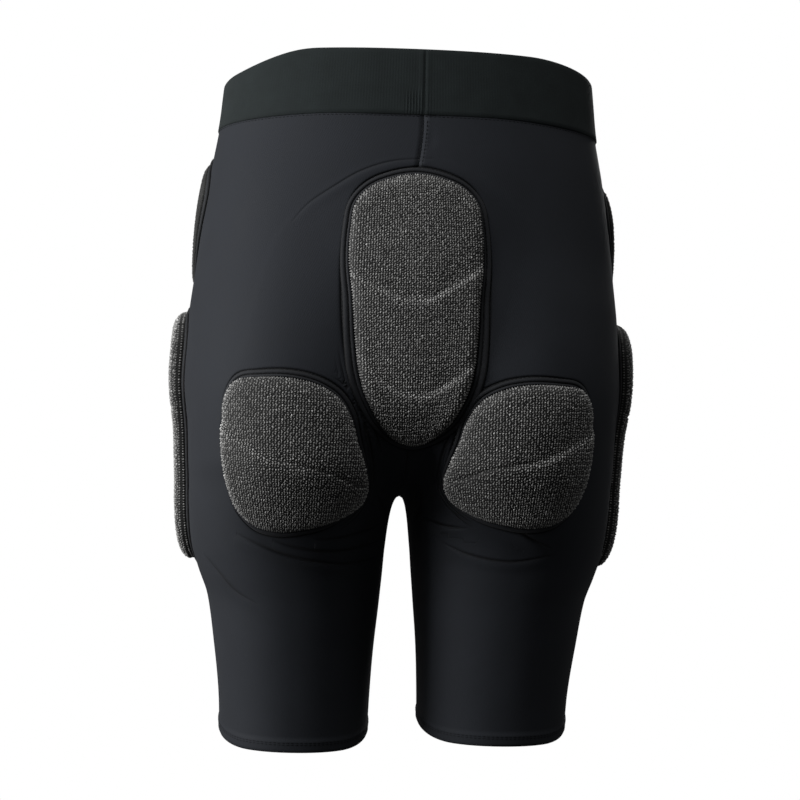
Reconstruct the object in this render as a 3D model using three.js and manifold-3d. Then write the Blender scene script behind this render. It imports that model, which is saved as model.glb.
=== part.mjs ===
// Padded protective sports shorts, in the form that they keep when they are worn.
// Units are millimetres and +Z is up. The wearer faces +Y, so the back of the shorts faces -Y.
// The origin is the centre of the waist opening, level with the middle of the waistband at the back.
// Each leg is one cloth panel, and the two panels meet in a seam down the middle, at x = 0.
// A knitted waistband closes the top, and seven moulded pads stand proud of the cloth,
// each inside a folded border that is sewn round its foot.

import * as THREE from 'three';
import Module from 'manifold-3d';

const wasm = await Module();
wasm.setup();

// Body sizes, over the cloth
const waistWidth = 288;
const waistDepth = 194;
const hipWidth = 336;
const hipDepth = 229;
const seatSetBack = 6.5;
const thighDepth = 234;
const thighSetBack = 13;
const hemWidth = 117.6;
const hemDepth = 143;
const hemSpacing = 39.6;
const riseHeight = 329;
const legHeight = 201;
const crotchCurveHeight = 88;
const forkHeight = 53;
const seatBlend = 16;
const crotchBlend = 8;

// Waistband sizes
const waistbandHeight = 50;
const waistbandAboveOrigin = 26;
const waistbandThickness = 2.4;
const waistbandProud = 0.9;
const rimDipAtSide = 14;
const seamDipAtFront = 12;

// Cloth sizes
const clothThickness = 1.6;
const hemFoldHeight = 10;
const hemFoldStep = 0.8;
const hemFoldProud = 0.5;
const hemRiseAtSide = 8;

// Clearances between neighbouring pieces
const sewnGap = 0.3;
const padSeatGap = 0.3;

// Pad sizes, measured along the body, and how far each pad stands off the cloth
const tailPadWidth = 96;
const tailPadHeight = 200;
const tailPadThickness = 11;
const seatPadWidth = 112;
const seatPadHeight = 110;
const seatPadThickness = 12;
const thighPadWidth = 102;
const thighPadHeight = 194;
const thighPadThickness = 11.5;
const hipPadWidth = 96;
const hipPadHeight = 104;
const hipPadThickness = 5.5;

// Borders, and the form of a pad's face
const borderWidth = 6.5;
const borderHeight = 3.2;
const shoulderRadius = 9;
const padCrown = 1.4;
const creaseDepth = 2;
const creaseWidth = 7;
const padRootDepth = 3;
const bodyCutDepth = 12;

// Mesh fineness
const trunkRows = 7;
const legRows = 7;
const outerColumns = 22;
const innerColumns = 7;
const bandSegments = 34;
const outlineSegments = 22;
const creaseSteps = 7;
const samplesPerColumn = 12;
const rayHalvings = 36;
const slopeStep = 0.5;
const cutTolerance = 0.1;

// Turns from the back, in radians, between which the rim, the waistband's seam and the hems change level
const rimDipTurns = [Math.PI / 4, Math.PI * 5 / 9];
const seamDipTurns = [Math.PI / 6, Math.PI * 5 / 6];
const hemRiseTurns = [Math.PI / 6, Math.PI * 5 / 9];

// Heights that follow from the sizes
const rimHeight = waistbandAboveOrigin;
const seamHeight = rimHeight - waistbandHeight;
const crotchHeight = rimHeight - riseHeight;
const hemHeight = crotchHeight - legHeight;
const crotchCurveTop = crotchHeight + crotchCurveHeight;
const forkLevel = crotchHeight + forkHeight;

// Sections of the trunk. down is a share of the rise, from the rim to the crotch.
// spread goes from 0, the waist's size, to 1, the hips' size.
const trunkSections = [
  { down: 0.00, spread: 0.00 },
  { down: 0.08, spread: 0.11 },
  { down: 0.15, spread: 0.21 },
  { down: 0.26, spread: 0.46 },
  { down: 0.41, spread: 0.74 },
  { down: 0.58, spread: 0.98 },
  { down: 0.70, spread: 1.00 },
];
const trunkSquareness = 2.3;

// Sections of a leg, which starts inside the trunk. level is a share of the leg's height below the
// crotch, and of the rise above it. taper goes from 0, the hips' half width, to 1, the hem's outer side.
// part is how far the inner side stands from the middle, as a share of the hem's.
// slim goes from 0, the thigh's depth, to 1, the hem's depth, and back is a share of the thigh's set back.
const legSections = [
  { level: -0.83, taper: 1.70, part: 2.00, slim: 1.15, back: 0.30 },
  { level: -0.59, taper: 0.95, part: 1.00, slim: 0.70, back: 0.60 },
  { level: -0.42, taper: 0.30, part: 0.05, slim: 0.27, back: 0.85 },
  { level: -0.24, taper: 0.00, part: -0.20, slim: 0.02, back: 1.00 },
  { level: -0.06, taper: 0.03, part: -0.18, slim: 0.07, back: 0.87 },
  { level: 0.00, taper: 0.06, part: -0.05, slim: 0.18, back: 0.65 },
  { level: 0.10, taper: 0.07, part: 0.30, slim: 0.30, back: 0.42 },
  { level: 0.25, taper: 0.16, part: 0.50, slim: 0.46, back: 0.20 },
  { level: 0.35, taper: 0.36, part: 0.59, slim: 0.55, back: 0.12 },
  { level: 0.45, taper: 0.60, part: 0.69, slim: 0.64, back: 0.05 },
  { level: 0.64, taper: 0.80, part: 0.86, slim: 0.79, back: 0.00 },
  { level: 0.83, taper: 0.95, part: 0.95, slim: 0.92, back: 0.00 },
  { level: 1.00, taper: 1.00, part: 1.00, slim: 1.00, back: 0.00 },
];
const legSquareness = 2.2;

// The pads of the right half and the middle. down is the share of the rise from the rim to a pad's
// centre. axisAcross and axisAlong place the upright line that the pad is wrapped round, as shares of
// half the hips' width and depth. facing is its direction from there in degrees, where 0 is the right
// side and -90 the back. outline runs anticlockwise in shares of half the width and half the height.
const padKinds = [
  {
    name: 'tail_pad', sides: [0], width: tailPadWidth, height: tailPadHeight, thickness: tailPadThickness,
    down: 0.599, axisAcross: 0, axisAlong: -0.131, facing: -90, tilt: 0,
    outline: [
      [0, 1], [-0.42, 0.97], [-0.76, 0.9], [-0.95, 0.79], [-1, 0.62], [-1, 0.36], [-0.93, 0.08],
      [-0.88, -0.24], [-0.8, -0.5], [-0.67, -0.7], [-0.5, -0.86], [-0.3, -0.96], [0, -1],
      [0.3, -0.96], [0.5, -0.86], [0.67, -0.7], [0.8, -0.5], [0.88, -0.24],
      [0.93, 0.08], [1, 0.36], [1, 0.62], [0.95, 0.79], [0.76, 0.9], [0.42, 0.97],
    ],
    creases: [
      [[-1.15, 0.42], [-0.62, 0.2], [0, 0.09], [0.62, 0.2], [1.15, 0.42]],
      [[-1.1, -0.36], [-0.55, -0.56], [0, -0.63], [0.55, -0.56], [1.1, -0.36]],
    ],
  },
  {
    name: 'seat_pad', sides: [-1, 1], width: seatPadWidth, height: seatPadHeight, thickness: seatPadThickness,
    down: 0.927, axisAcross: 0.488, axisAlong: -0.105, facing: -90, tilt: 0,
    outline: [
      [0.1, 1], [-0.22, 0.92], [-0.47, 0.76], [-0.64, 0.5], [-0.75, 0.16], [-0.9, -0.17], [-1, -0.42],
      [-0.93, -0.62], [-0.54, -0.85], [-0.12, -0.96], [0.25, -1], [0.58, -0.9], [0.8, -0.68],
      [0.91, -0.4], [0.97, -0.05], [1, 0.35], [0.96, 0.72], [0.8, 0.95], [0.5, 1],
    ],
    creases: [
      [[-1.15, -0.55], [-0.45, -0.19], [0.16, -0.08], [0.7, 0.2], [1.15, 0.72]],
    ],
  },
  {
    name: 'thigh_pad', sides: [-1, 1], width: thighPadWidth, height: thighPadHeight,
    thickness: thighPadThickness,
    down: 0.894, axisAcross: 0.488, axisAlong: -0.052, facing: 24, tilt: 7,
    outline: [
      [0, 1], [-0.6, 0.97], [-0.92, 0.84], [-0.98, 0.5], [-0.92, 0.1], [-0.88, -0.35], [-0.84, -0.76],
      [-0.56, -0.96], [0, -1], [0.56, -0.96], [0.84, -0.76], [0.88, -0.35], [0.92, 0.1],
      [0.98, 0.5], [0.92, 0.84], [0.6, 0.97],
    ],
    creases: [
      [[-1.15, 0.36], [-0.5, 0.24], [0, 0.2], [0.5, 0.24], [1.15, 0.36]],
    ],
  },
  {
    name: 'hip_pad', sides: [-1, 1], width: hipPadWidth, height: hipPadHeight, thickness: hipPadThickness,
    down: 0.392, axisAcross: 0.429, axisAlong: 0, facing: 20, tilt: 14,
    outline: [
      [0, 1], [-0.62, 0.94], [-0.96, 0.68], [-0.92, 0.22], [-0.7, -0.3], [-0.46, -0.8],
      [0, -1], [0.46, -0.8], [0.74, -0.3], [0.94, 0.22], [0.96, 0.68], [0.62, 0.94],
    ],
    creases: [],
  },
];

const colours = {
  cloth: 0x1b1c1f,
  waistband: 0x171c1c,
  border: 0x141518,
  knit: 0x474745,
};

function mix(from, to, share) {
  return from + (to - from) * share;
}

function clamp(value, low, high) {
  return Math.min(high, Math.max(low, value));
}

function smoothStep(from, to, value) {
  const share = clamp((value - from) / (to - from), 0, 1);
  return share * share * (3 - 2 * share);
}

// The minimum of two distances, with a round of the given size where they are equal.
function smoothMin(a, b, size) {
  const near = Math.max(size - Math.abs(a - b), 0) / size;
  return Math.min(a, b) - near * near * size / 4;
}

// A column of a section table at a height, along a smooth curve through its rows.
function readTable(rows, place, column, at) {
  const last = rows.length - 1;
  if (at <= rows[0][place]) return rows[0][column];
  if (at >= rows[last][place]) return rows[last][column];
  const row = rows.findIndex((next) => next[place] > at) - 1;
  const slope = (index) => {
    const before = rows[Math.max(index - 1, 0)];
    const after = rows[Math.min(index + 1, last)];
    return (after[column] - before[column]) / (after[place] - before[place]);
  };
  const span = rows[row + 1][place] - rows[row][place];
  const t = (at - rows[row][place]) / span;
  const rise = rows[row + 1][column] - rows[row][column];
  const startSlope = slope(row) * span - rise;
  const endSlope = rise - slope(row + 1) * span;
  return rows[row][column] + t * rise + t * (1 - t) * (startSlope * (1 - t) + endSlope * t);
}

// How far a point lies outside a section, measured along the line from the section's centre.
function outsideSection(across, along, drop, halfWidth, halfDepth, halfDrop, power) {
  const reach = Math.hypot(across, along, drop) + 1e-9;
  const sum = (Math.abs(across) / halfWidth) ** power + (Math.abs(along) / halfDepth) ** power
    + (Math.abs(drop) / halfDrop) ** power;
  return reach - reach / (sum ** (1 / power) + 1e-12);
}

function trunkDistance(x, y, z) {
  const spread = readTable(trunkSections, 'down', 'spread', (rimHeight - z) / riseHeight);
  const halfWidth = mix(waistWidth, hipWidth, spread) / 2;
  const halfDepth = mix(waistDepth, hipDepth, spread) / 2;
  const drop = Math.max(crotchCurveTop - z, 0);
  return outsideSection(x, y + seatSetBack * spread, drop, halfWidth, halfDepth, crotchCurveHeight,
    trunkSquareness);
}

// The centre and half sizes of the right leg's section at a height.
function legSection(z) {
  const level = (crotchHeight - z) / (z > crotchHeight ? riseHeight : legHeight);
  const outer = mix(hipWidth / 2, hemSpacing / 2 + hemWidth, readTable(legSections, 'level', 'taper', level));
  const inner = hemSpacing / 2 * readTable(legSections, 'level', 'part', level);
  const depth = mix(thighDepth, hemDepth, readTable(legSections, 'level', 'slim', level));
  const setBack = thighSetBack * readTable(legSections, 'level', 'back', level);
  return { x: (outer + inner) / 2, y: -setBack, halfWidth: (outer - inner) / 2, halfDepth: depth / 2 };
}

// How far a point lies outside the worn shorts: the trunk and both legs, blended into each other.
function bodyDistance(x, y, z) {
  const leg = legSection(z);
  const legAt = (side) => outsideSection(side * x - leg.x, y - leg.y, 0, leg.halfWidth, leg.halfDepth, 1,
    legSquareness);
  return smoothMin(trunkDistance(x, y, z), smoothMin(legAt(1), legAt(-1), crotchBlend), seatBlend);
}

// The outward direction of the body's surface at a point.
function bodyNormal(point) {
  const step = slopeStep;
  const { x, y, z } = point;
  return new THREE.Vector3(
    bodyDistance(x + step, y, z) - bodyDistance(x - step, y, z),
    bodyDistance(x, y + step, z) - bodyDistance(x, y - step, z),
    bodyDistance(x, y, z + step) - bodyDistance(x, y, z - step),
  ).normalize();
}

// Where a ray from inside the body meets its surface, or its limit if it stays inside that far.
function meetBody(origin, direction, limit) {
  const at = (reach) => origin.clone().addScaledVector(direction, reach);
  const outside = (reach) => {
    const point = at(reach);
    return bodyDistance(point.x, point.y, point.z) > 0;
  };
  if (!outside(limit)) return at(limit);
  let near = 0;
  let far = limit;
  for (let halving = 0; halving < rayHalvings; halving += 1) {
    const middle = (near + far) / 2;
    if (outside(middle)) far = middle;
    else near = middle;
  }
  return at((near + far) / 2);
}

// The body's surface on a level ray from an upright axis. keepRight stops the ray at x = 0.
function levelPoint(axisX, axisY, angle, z, keepRight = false) {
  const direction = new THREE.Vector3(Math.cos(angle), Math.sin(angle), 0);
  const farEnough = hipWidth + hipDepth;
  const limit = keepRight && direction.x < 0 ? Math.min(farEnough, axisX / -direction.x) : farEnough;
  return meetBody(new THREE.Vector3(axisX, axisY, z), direction, limit);
}

// Splits the stretch of a level section between two angles into equal lengths, and gives the angles.
function evenAngles(axisX, axisY, z, from, to, count) {
  const samples = samplesPerColumn * count;
  const angles = Array.from({ length: samples + 1 }, (_, i) => mix(from, to, i / samples));
  const points = angles.map((angle) => levelPoint(axisX, axisY, angle, z));
  const lengths = [0];
  for (let i = 1; i <= samples; i += 1) lengths.push(lengths[i - 1] + points[i].distanceTo(points[i - 1]));
  return Array.from({ length: count + 1 }, (_, part) => {
    const wanted = lengths[samples] * (part / count);
    const next = clamp(lengths.findIndex((length) => length >= wanted), 1, samples);
    const share = (wanted - lengths[next - 1]) / (lengths[next] - lengths[next - 1]);
    return mix(angles[next - 1], angles[next], share);
  });
}

// Heights of the waistband's rim and seam, and of a hem, by the turn from the back in radians.
function turnFromBack(x, y) {
  return Math.abs(Math.atan2(x, -y));
}

function rimLevel(turn) {
  return rimHeight - rimDipAtSide * smoothStep(...rimDipTurns, turn);
}

function seamLevel(turn) {
  return seamHeight - seamDipAtFront * smoothStep(...seamDipTurns, turn);
}

function hemLevel(turn) {
  return hemHeight + hemRiseAtSide * smoothStep(...hemRiseTurns, turn);
}

// A geometry from points and triangles. A left piece mirrors the right one and turns its faces over.
function makeGeometry(points, triangles, side = 1) {
  const positions = points.flatMap((point) => [side < 0 ? -point.x : point.x, point.y, point.z]);
  const order = side < 0 ? triangles.map(([a, b, c]) => [a, c, b]) : triangles;
  const geometry = new THREE.BufferGeometry();
  geometry.setAttribute('position', new THREE.Float32BufferAttribute(positions, 3));
  geometry.setIndex(order.flat());
  geometry.computeVertexNormals();
  return geometry;
}

// Joins closed rings of points into a skin. It closes on itself, or ends in a centre point each way.
function joinRings(rings, centres) {
  const around = rings[0].length;
  const points = rings.flat();
  const triangles = [];
  const quad = (a, b, c, d) => triangles.push([a, b, c], [a, c, d]);
  const steps = centres ? rings.length - 1 : rings.length;
  for (let ring = 0; ring < steps; ring += 1) {
    const next = (ring + 1) % rings.length;
    for (let i = 0; i < around; i += 1) {
      const j = (i + 1) % around;
      quad(ring * around + i, ring * around + j, next * around + j, next * around + i);
    }
  }
  if (centres) {
    const first = points.push(centres[0]) - 1;
    const last = points.push(centres[1]) - 1;
    const end = (rings.length - 1) * around;
    for (let i = 0; i < around; i += 1) {
      const j = (i + 1) % around;
      triangles.push([first, j, i], [last, end + i, end + j]);
    }
  }
  return { points, triangles };
}

// Turns a sheet into a solid: the inner points lie behind the outer ones, and every free edge is closed.
function thicken(outer, inner, triangles) {
  const count = outer.length;
  const edges = new Map();
  for (const [a, b, c] of triangles) {
    for (const [from, to] of [[a, b], [b, c], [c, a]]) edges.set(`${from} ${to}`, [from, to]);
  }
  const all = triangles.flatMap(([a, b, c]) => [[a, b, c], [a + count, c + count, b + count]]);
  for (const [from, to] of edges.values()) {
    if (!edges.has(`${to} ${from}`)) {
      all.push([to, from, from + count], [to, from + count, to + count]);
    }
  }
  return { points: [...outer, ...inner], triangles: all };
}

// The rows of points of the right leg panel. Columns run from the front seam round the outside to the
// back seam, and below the fork on along the inside of the leg to the front again.
function panelRows() {
  const fork = legSection(forkLevel);
  const seamPoint = (z, way) => meetBody(new THREE.Vector3(0, -seatSetBack, z), new THREE.Vector3(0, way, 0),
    hipDepth);
  const turnTo = (point, section) => Math.atan2(point.y - section.y, point.x - section.x);
  const rows = [];

  // Rows from the waistband's seam to the fork, open at the middle.
  for (let row = 0; row < trunkRows; row += 1) {
    const share = row / trunkRows;
    const level = mix(seamHeight, forkLevel, share);
    const section = legSection(level);
    const front = turnTo(seamPoint(level, 1), section);
    const back = turnTo(seamPoint(level, -1), section);
    const angles = evenAngles(section.x, section.y, level, front, back, outerColumns);
    rows.push(angles.map((angle, column) => {
      const flat = levelPoint(section.x, section.y, angle, level);
      const top = seamLevel(turnFromBack(flat.x, flat.y)) - sewnGap;
      const z = mix(top, forkLevel, share);
      if (column === 0) return seamPoint(z, 1);
      if (column === outerColumns) return seamPoint(z, -1);
      return levelPoint(section.x, section.y, angle, z);
    }));
  }

  // Where each column starts at the fork: the outer ones level, the inner ones along the crotch curve.
  const starts = evenAngles(fork.x, fork.y, forkLevel, turnTo(seamPoint(forkLevel, 1), fork),
    turnTo(seamPoint(forkLevel, -1), fork), outerColumns).map((angle, column) => {
    if (column === 0) return seamPoint(forkLevel, 1);
    if (column === outerColumns) return seamPoint(forkLevel, -1);
    return levelPoint(fork.x, fork.y, angle, forkLevel);
  });
  const crotchCentre = new THREE.Vector3(0, -seatSetBack, forkLevel);
  for (let column = 1; column < innerColumns; column += 1) {
    const angle = Math.PI * column / innerColumns;
    starts.push(meetBody(crotchCentre, new THREE.Vector3(0, -Math.cos(angle), -Math.sin(angle)), hipDepth));
  }

  // Where each column ends at the hem, spread evenly round the leg.
  const hem = legSection(hemHeight);
  const startTurns = starts.map((point) => turnTo(point, fork)).map((angle, column) => (
    column > outerColumns && angle > 0 ? angle - 2 * Math.PI : angle));
  const hemTurns = [
    ...evenAngles(hem.x, hem.y, hemHeight, startTurns[0], startTurns[outerColumns], outerColumns),
    ...evenAngles(hem.x, hem.y, hemHeight, startTurns[outerColumns], startTurns[0] - 2 * Math.PI,
      innerColumns).slice(1, -1),
  ];

  // Rows from the fork to the fold of the hem, then the fold itself, which stands a little proud.
  const shares = Array.from({ length: legRows + 1 }, (_, row) => row / legRows);
  const legLevels = shares.map((share) => ({ share, above: 0, proud: 0 }));
  const foldLevels = [
    { share: 1, above: -hemFoldStep, proud: hemFoldProud },
    { share: 1, above: -hemFoldHeight, proud: hemFoldProud },
  ];
  for (const { share, above, proud } of [...legLevels, ...foldLevels]) {
    rows.push(starts.map((start, column) => {
      if (share === 0) return start;
      const angle = mix(startTurns[column], hemTurns[column], share);
      const end = hemLevel(turnFromBack(Math.cos(hemTurns[column]), Math.sin(hemTurns[column])));
      const z = mix(start.z, end + hemFoldHeight, share) + above;
      const section = legSection(z);
      const point = levelPoint(section.x, section.y, angle, z, true);
      return point.addScaledVector(bodyNormal(point), proud);
    }));
  }
  return rows;
}

// The faces between the rows of a leg panel.
function panelTriangles(rows) {
  const triangles = [];
  const starts = [];
  let count = 0;
  for (const row of rows) {
    starts.push(count);
    count += row.length;
  }
  for (let row = 0; row + 1 < rows.length; row += 1) {
    const closed = row >= trunkRows;
    const width = closed ? rows[row].length : outerColumns;
    for (let column = 0; column < width; column += 1) {
      const next = closed ? (column + 1) % rows[row].length : column + 1;
      const [a, b] = [starts[row] + column, starts[row] + next];
      const [c, d] = [starts[row + 1] + next, starts[row + 1] + column];
      triangles.push([a, b, c], [a, c, d]);
    }
  }
  return triangles;
}

// A wall that follows a leg panel, between two distances from the body and beyond a limit in x.
function panelWall(rows, outside, inside, leastX) {
  const moved = (distance) => rows.flat().map((point) => {
    const away = point.clone().addScaledVector(bodyNormal(point), distance);
    return away.setX(Math.max(away.x, leastX));
  });
  const atMiddle = (point) => (point.x <= sewnGap / 2 ? point.setX(leastX) : point);
  return thicken(moved(outside).map(atMiddle), moved(inside).map(atMiddle), panelTriangles(rows));
}

// The cloth of one leg, from the waistband's seam to the hem.
function legPanel(rows, side) {
  const { points, triangles } = panelWall(rows, 0, -clothThickness, sewnGap / 2);
  return makeGeometry(points, triangles, side);
}

// The body as far as the cloth and a seat gap over it. Whatever sits on the cloth is cut by this.
function bodyCutter(rows) {
  const right = panelWall(rows, padSeatGap, -bodyCutDepth, -sewnGap);
  const left = {
    points: right.points.map((point) => new THREE.Vector3(-point.x, point.y, point.z)),
    triangles: right.triangles.map(([a, b, c]) => [a, c, b]),
  };
  return toManifold(right).add(toManifold(left));
}

// The knitted band: one ring whose section is a flat strip with soft edges.
function waistband() {
  const profile = [
    { up: 0, out: waistbandProud * 0.4 },
    { up: 0.06, out: waistbandProud },
    { up: 0.94, out: waistbandProud },
    { up: 1, out: waistbandProud - waistbandThickness / 2 },
    { up: 0.94, out: waistbandProud - waistbandThickness },
    { up: 0, out: waistbandProud - waistbandThickness },
  ];
  const turns = evenAngles(0, 0, 0, -Math.PI / 2, Math.PI * 3 / 2, bandSegments).slice(0, -1);
  const rings = profile.map(({ up, out }) => turns.map((angle) => {
    const turn = turnFromBack(Math.cos(angle), Math.sin(angle));
    const point = levelPoint(0, 0, angle, mix(seamLevel(turn), rimLevel(turn), up));
    return point.addScaledVector(bodyNormal(point), out);
  }));
  const solid = joinRings(rings);
  return makeGeometry(solid.points, solid.triangles);
}

// Where a place on a pad lies: across and up along the body, and out from it.
function padPlacer(kind) {
  const facing = THREE.MathUtils.degToRad(kind.facing);
  const tilt = THREE.MathUtils.degToRad(kind.tilt);
  const axisX = kind.axisAcross * hipWidth / 2;
  const axisY = kind.axisAlong * hipDepth / 2;
  const centreLevel = rimHeight - kind.down * riseHeight;
  const centre = levelPoint(axisX, axisY, facing, centreLevel);
  const wrapRadius = Math.hypot(centre.x - axisX, centre.y - axisY);
  return (across, up, out) => {
    const turned = across * Math.cos(tilt) - up * Math.sin(tilt);
    const raised = across * Math.sin(tilt) + up * Math.cos(tilt);
    const point = levelPoint(axisX, axisY, facing + turned / wrapRadius, centreLevel + raised);
    return point.addScaledVector(bodyNormal(point), out);
  };
}

// The smooth closed outline of a pad, in millimetres across and up.
function padOutline(kind) {
  const corners = kind.outline.map(([across, up]) => (
    new THREE.Vector3(across * kind.width / 2, up * kind.height / 2, 0)));
  return new THREE.CatmullRomCurve3(corners, true).getSpacedPoints(outlineSegments).slice(0, -1);
}

// The same outline moved outwards by a distance.
function moveOut(outline, distance) {
  const count = outline.length;
  return outline.map((point, i) => {
    const along = outline[(i + 1) % count].clone().sub(outline[(i + count - 1) % count]).normalize();
    return new THREE.Vector3(point.x + along.y * distance, point.y - along.x * distance, 0);
  });
}

// A groove cutter: a V that is swept along a crease, with its foot below the pad's face.
function creaseCutter(kind, place, crease) {
  const knots = crease.map(([across, up]) => (
    new THREE.Vector3(across * kind.width / 2, up * kind.height / 2, 0)));
  const line = new THREE.CatmullRomCurve3(knots).getSpacedPoints(creaseSteps);
  const foot = kind.thickness - creaseDepth;
  const top = kind.thickness + padCrown + creaseDepth;
  const spread = creaseWidth * (top - foot) / (2 * creaseDepth);
  const rings = line.map((point, i) => {
    const along = line[Math.min(i + 1, line.length - 1)].clone().sub(line[Math.max(i - 1, 0)]).normalize();
    const side = new THREE.Vector2(-along.y, along.x).multiplyScalar(spread);
    return [
      place(point.x, point.y, foot),
      place(point.x + side.x, point.y + side.y, top),
      place(point.x - side.x, point.y - side.y, top),
    ];
  });
  const middle = (ring) => ring[0].clone().add(ring[1]).add(ring[2]).divideScalar(3);
  return joinRings(rings, [middle(rings[0]), middle(rings[rings.length - 1])]);
}

function toManifold({ points, triangles }) {
  return new wasm.Manifold(new wasm.Mesh({
    numProp: 3,
    vertProperties: new Float32Array(points.flatMap((point) => [point.x, point.y, point.z])),
    triVerts: new Uint32Array(triangles.flat()),
    tolerance: cutTolerance,
  }));
}

function fromManifold(solid, side) {
  const mesh = solid.getMesh();
  const points = [];
  const triangles = [];
  for (let i = 0; i < mesh.vertProperties.length; i += mesh.numProp) {
    points.push(new THREE.Vector3(...mesh.vertProperties.slice(i, i + 3)));
  }
  for (let i = 0; i < mesh.triVerts.length; i += 3) triangles.push([...mesh.triVerts.slice(i, i + 3)]);
  return makeGeometry(points, triangles, side);
}

// A pad as it leaves the mould: an upright wall from below the cloth, a round shoulder, a crowned face.
function padForm(kind, place, outline) {
  const centre = outline.reduce((sum, point) => sum.add(point), new THREE.Vector3())
    .divideScalar(outline.length);
  const ring = (inset, towards, out) => outline.map((point) => {
    const inwards = Math.min(inset / point.distanceTo(centre), 0.5);
    const at = point.clone().lerp(centre, mix(inwards, 1, towards));
    return place(at.x, at.y, out);
  });
  const shoulder = [0, 0.3, 1].map((share) => ({
    inset: share * shoulderRadius,
    out: mix(kind.thickness / 2, kind.thickness, Math.sqrt(1 - (1 - share) ** 2)),
  }));
  const crown = [1 / 3, 2 / 3].map((towards) => ({
    towards,
    out: kind.thickness + padCrown * (1 - (1 - towards) ** 2),
  }));
  const rings = [
    ...[2 / 3, 1 / 3, 0].map((towards) => ring(0, towards, -padRootDepth)),
    ...shoulder.map(({ inset, out }) => ring(inset, 0, out)),
    ...crown.map(({ towards, out }) => ring(shoulderRadius, towards, out)),
  ];
  const ends = [-padRootDepth, kind.thickness + padCrown].map((out) => place(centre.x, centre.y, out));
  return toManifold(joinRings(rings, ends));
}

// The finished pad: its foot is cut to the cloth that it sits on, and its creases into its face.
function mouldedPad(kind, place, cutter) {
  const creases = kind.creases.map((crease) => toManifold(creaseCutter(kind, place, crease)));
  return creases.reduce((solid, crease) => solid.subtract(crease),
    padForm(kind, place, padOutline(kind)).subtract(cutter));
}

// The folded border round a pad's foot: highest beside the pad, and thin where it meets the cloth.
function padBorder(kind, place, cutter) {
  const outline = padOutline(kind);
  const profile = [
    { across: -0.3, out: -padRootDepth },
    { across: 1, out: -padRootDepth },
    { across: 0.92, out: borderHeight * 0.45 },
    { across: 0.5, out: borderHeight },
    { across: -0.3, out: borderHeight * 0.9 },
  ];
  const rings = profile.map(({ across, out }) => (
    moveOut(outline, sewnGap + across * borderWidth).map((point) => place(point.x, point.y, out))));
  const room = padForm(kind, place, moveOut(outline, sewnGap));
  return toManifold(joinRings(rings)).subtract(room).subtract(cutter);
}

function cloth(colour, roughness) {
  return new THREE.MeshStandardMaterial({ color: colour, roughness, metalness: 0 });
}

// A mesh whose geometry is measured from its own place, and which stands at that place.
function placedMesh(name, geometry, material, place) {
  const mesh = new THREE.Mesh(geometry.translate(-place.x, -place.y, -place.z), material);
  mesh.name = name;
  mesh.position.copy(place);
  return mesh;
}

const shorts = new THREE.Group();
const sideNames = { '-1': 'left_', 0: '', 1: 'right_' };
const middleOfWaist = new THREE.Vector3();

const rows = panelRows();
const cutter = bodyCutter(rows);

shorts.add(placedMesh('waistband', waistband(), cloth(colours.waistband, 0.85), middleOfWaist));
for (const side of [-1, 1]) {
  // Facing +Y, the wearer has the right leg on the +X side.
  const name = `${sideNames[side]}leg_panel`;
  shorts.add(placedMesh(name, legPanel(rows, side), cloth(colours.cloth, 0.75), middleOfWaist));
}
for (const kind of padKinds) {
  const place = padPlacer(kind);
  const centre = place(0, 0, 0);
  const pad = mouldedPad(kind, place, cutter);
  const border = padBorder(kind, place, cutter);
  for (const side of kind.sides) {
    const name = `${sideNames[side]}${kind.name}`;
    const spot = new THREE.Vector3(side < 0 ? -centre.x : centre.x, centre.y, centre.z);
    shorts.add(placedMesh(name, fromManifold(pad, side), cloth(colours.knit, 0.9), spot));
    shorts.add(placedMesh(`${name}_border`, fromManifold(border, side), cloth(colours.border, 0.8), spot));
  }
}

export default shorts;
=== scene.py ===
"""Padded protective sports shorts, in the form that they keep when they are worn, seen from the back.

Units are metres and +Z is up. The wearer faces +Y, so the back of the shorts faces -Y and the wearer's
right leg is on the +X side. Every piece is built in its worn shape and takes the place of its plain CAD
solid, which is hidden.
"""

import bpy
import numpy as np
from mathutils import Matrix, Vector


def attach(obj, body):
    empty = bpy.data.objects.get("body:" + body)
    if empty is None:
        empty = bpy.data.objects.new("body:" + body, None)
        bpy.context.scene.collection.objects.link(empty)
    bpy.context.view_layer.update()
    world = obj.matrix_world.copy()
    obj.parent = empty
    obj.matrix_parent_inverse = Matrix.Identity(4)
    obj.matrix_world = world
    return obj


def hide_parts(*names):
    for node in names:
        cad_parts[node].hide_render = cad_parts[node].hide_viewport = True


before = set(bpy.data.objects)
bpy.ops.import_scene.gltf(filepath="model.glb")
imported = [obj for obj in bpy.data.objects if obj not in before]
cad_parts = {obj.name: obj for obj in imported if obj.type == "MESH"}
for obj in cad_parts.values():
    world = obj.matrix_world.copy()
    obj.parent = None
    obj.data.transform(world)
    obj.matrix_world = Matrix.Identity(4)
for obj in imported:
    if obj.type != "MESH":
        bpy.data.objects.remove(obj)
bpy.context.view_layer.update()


# Camera, studio light and floor
# The camera stands behind the wearer, level with the middle of the shorts, turned and rolled as in the
# photograph. A large soft lamp at the left and one above light the shorts, and the right is hardly filled.
CAMERA_DISTANCE = 1.5
CAMERA_HEIGHT = -0.237
CAMERA_SHIFT = -0.0005
CAMERA_TURN = np.radians(-3.7)
CAMERA_ROLL = np.radians(1.5)
SENSOR_WIDTH = 36
LENS_LENGTH = 84.4
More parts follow.
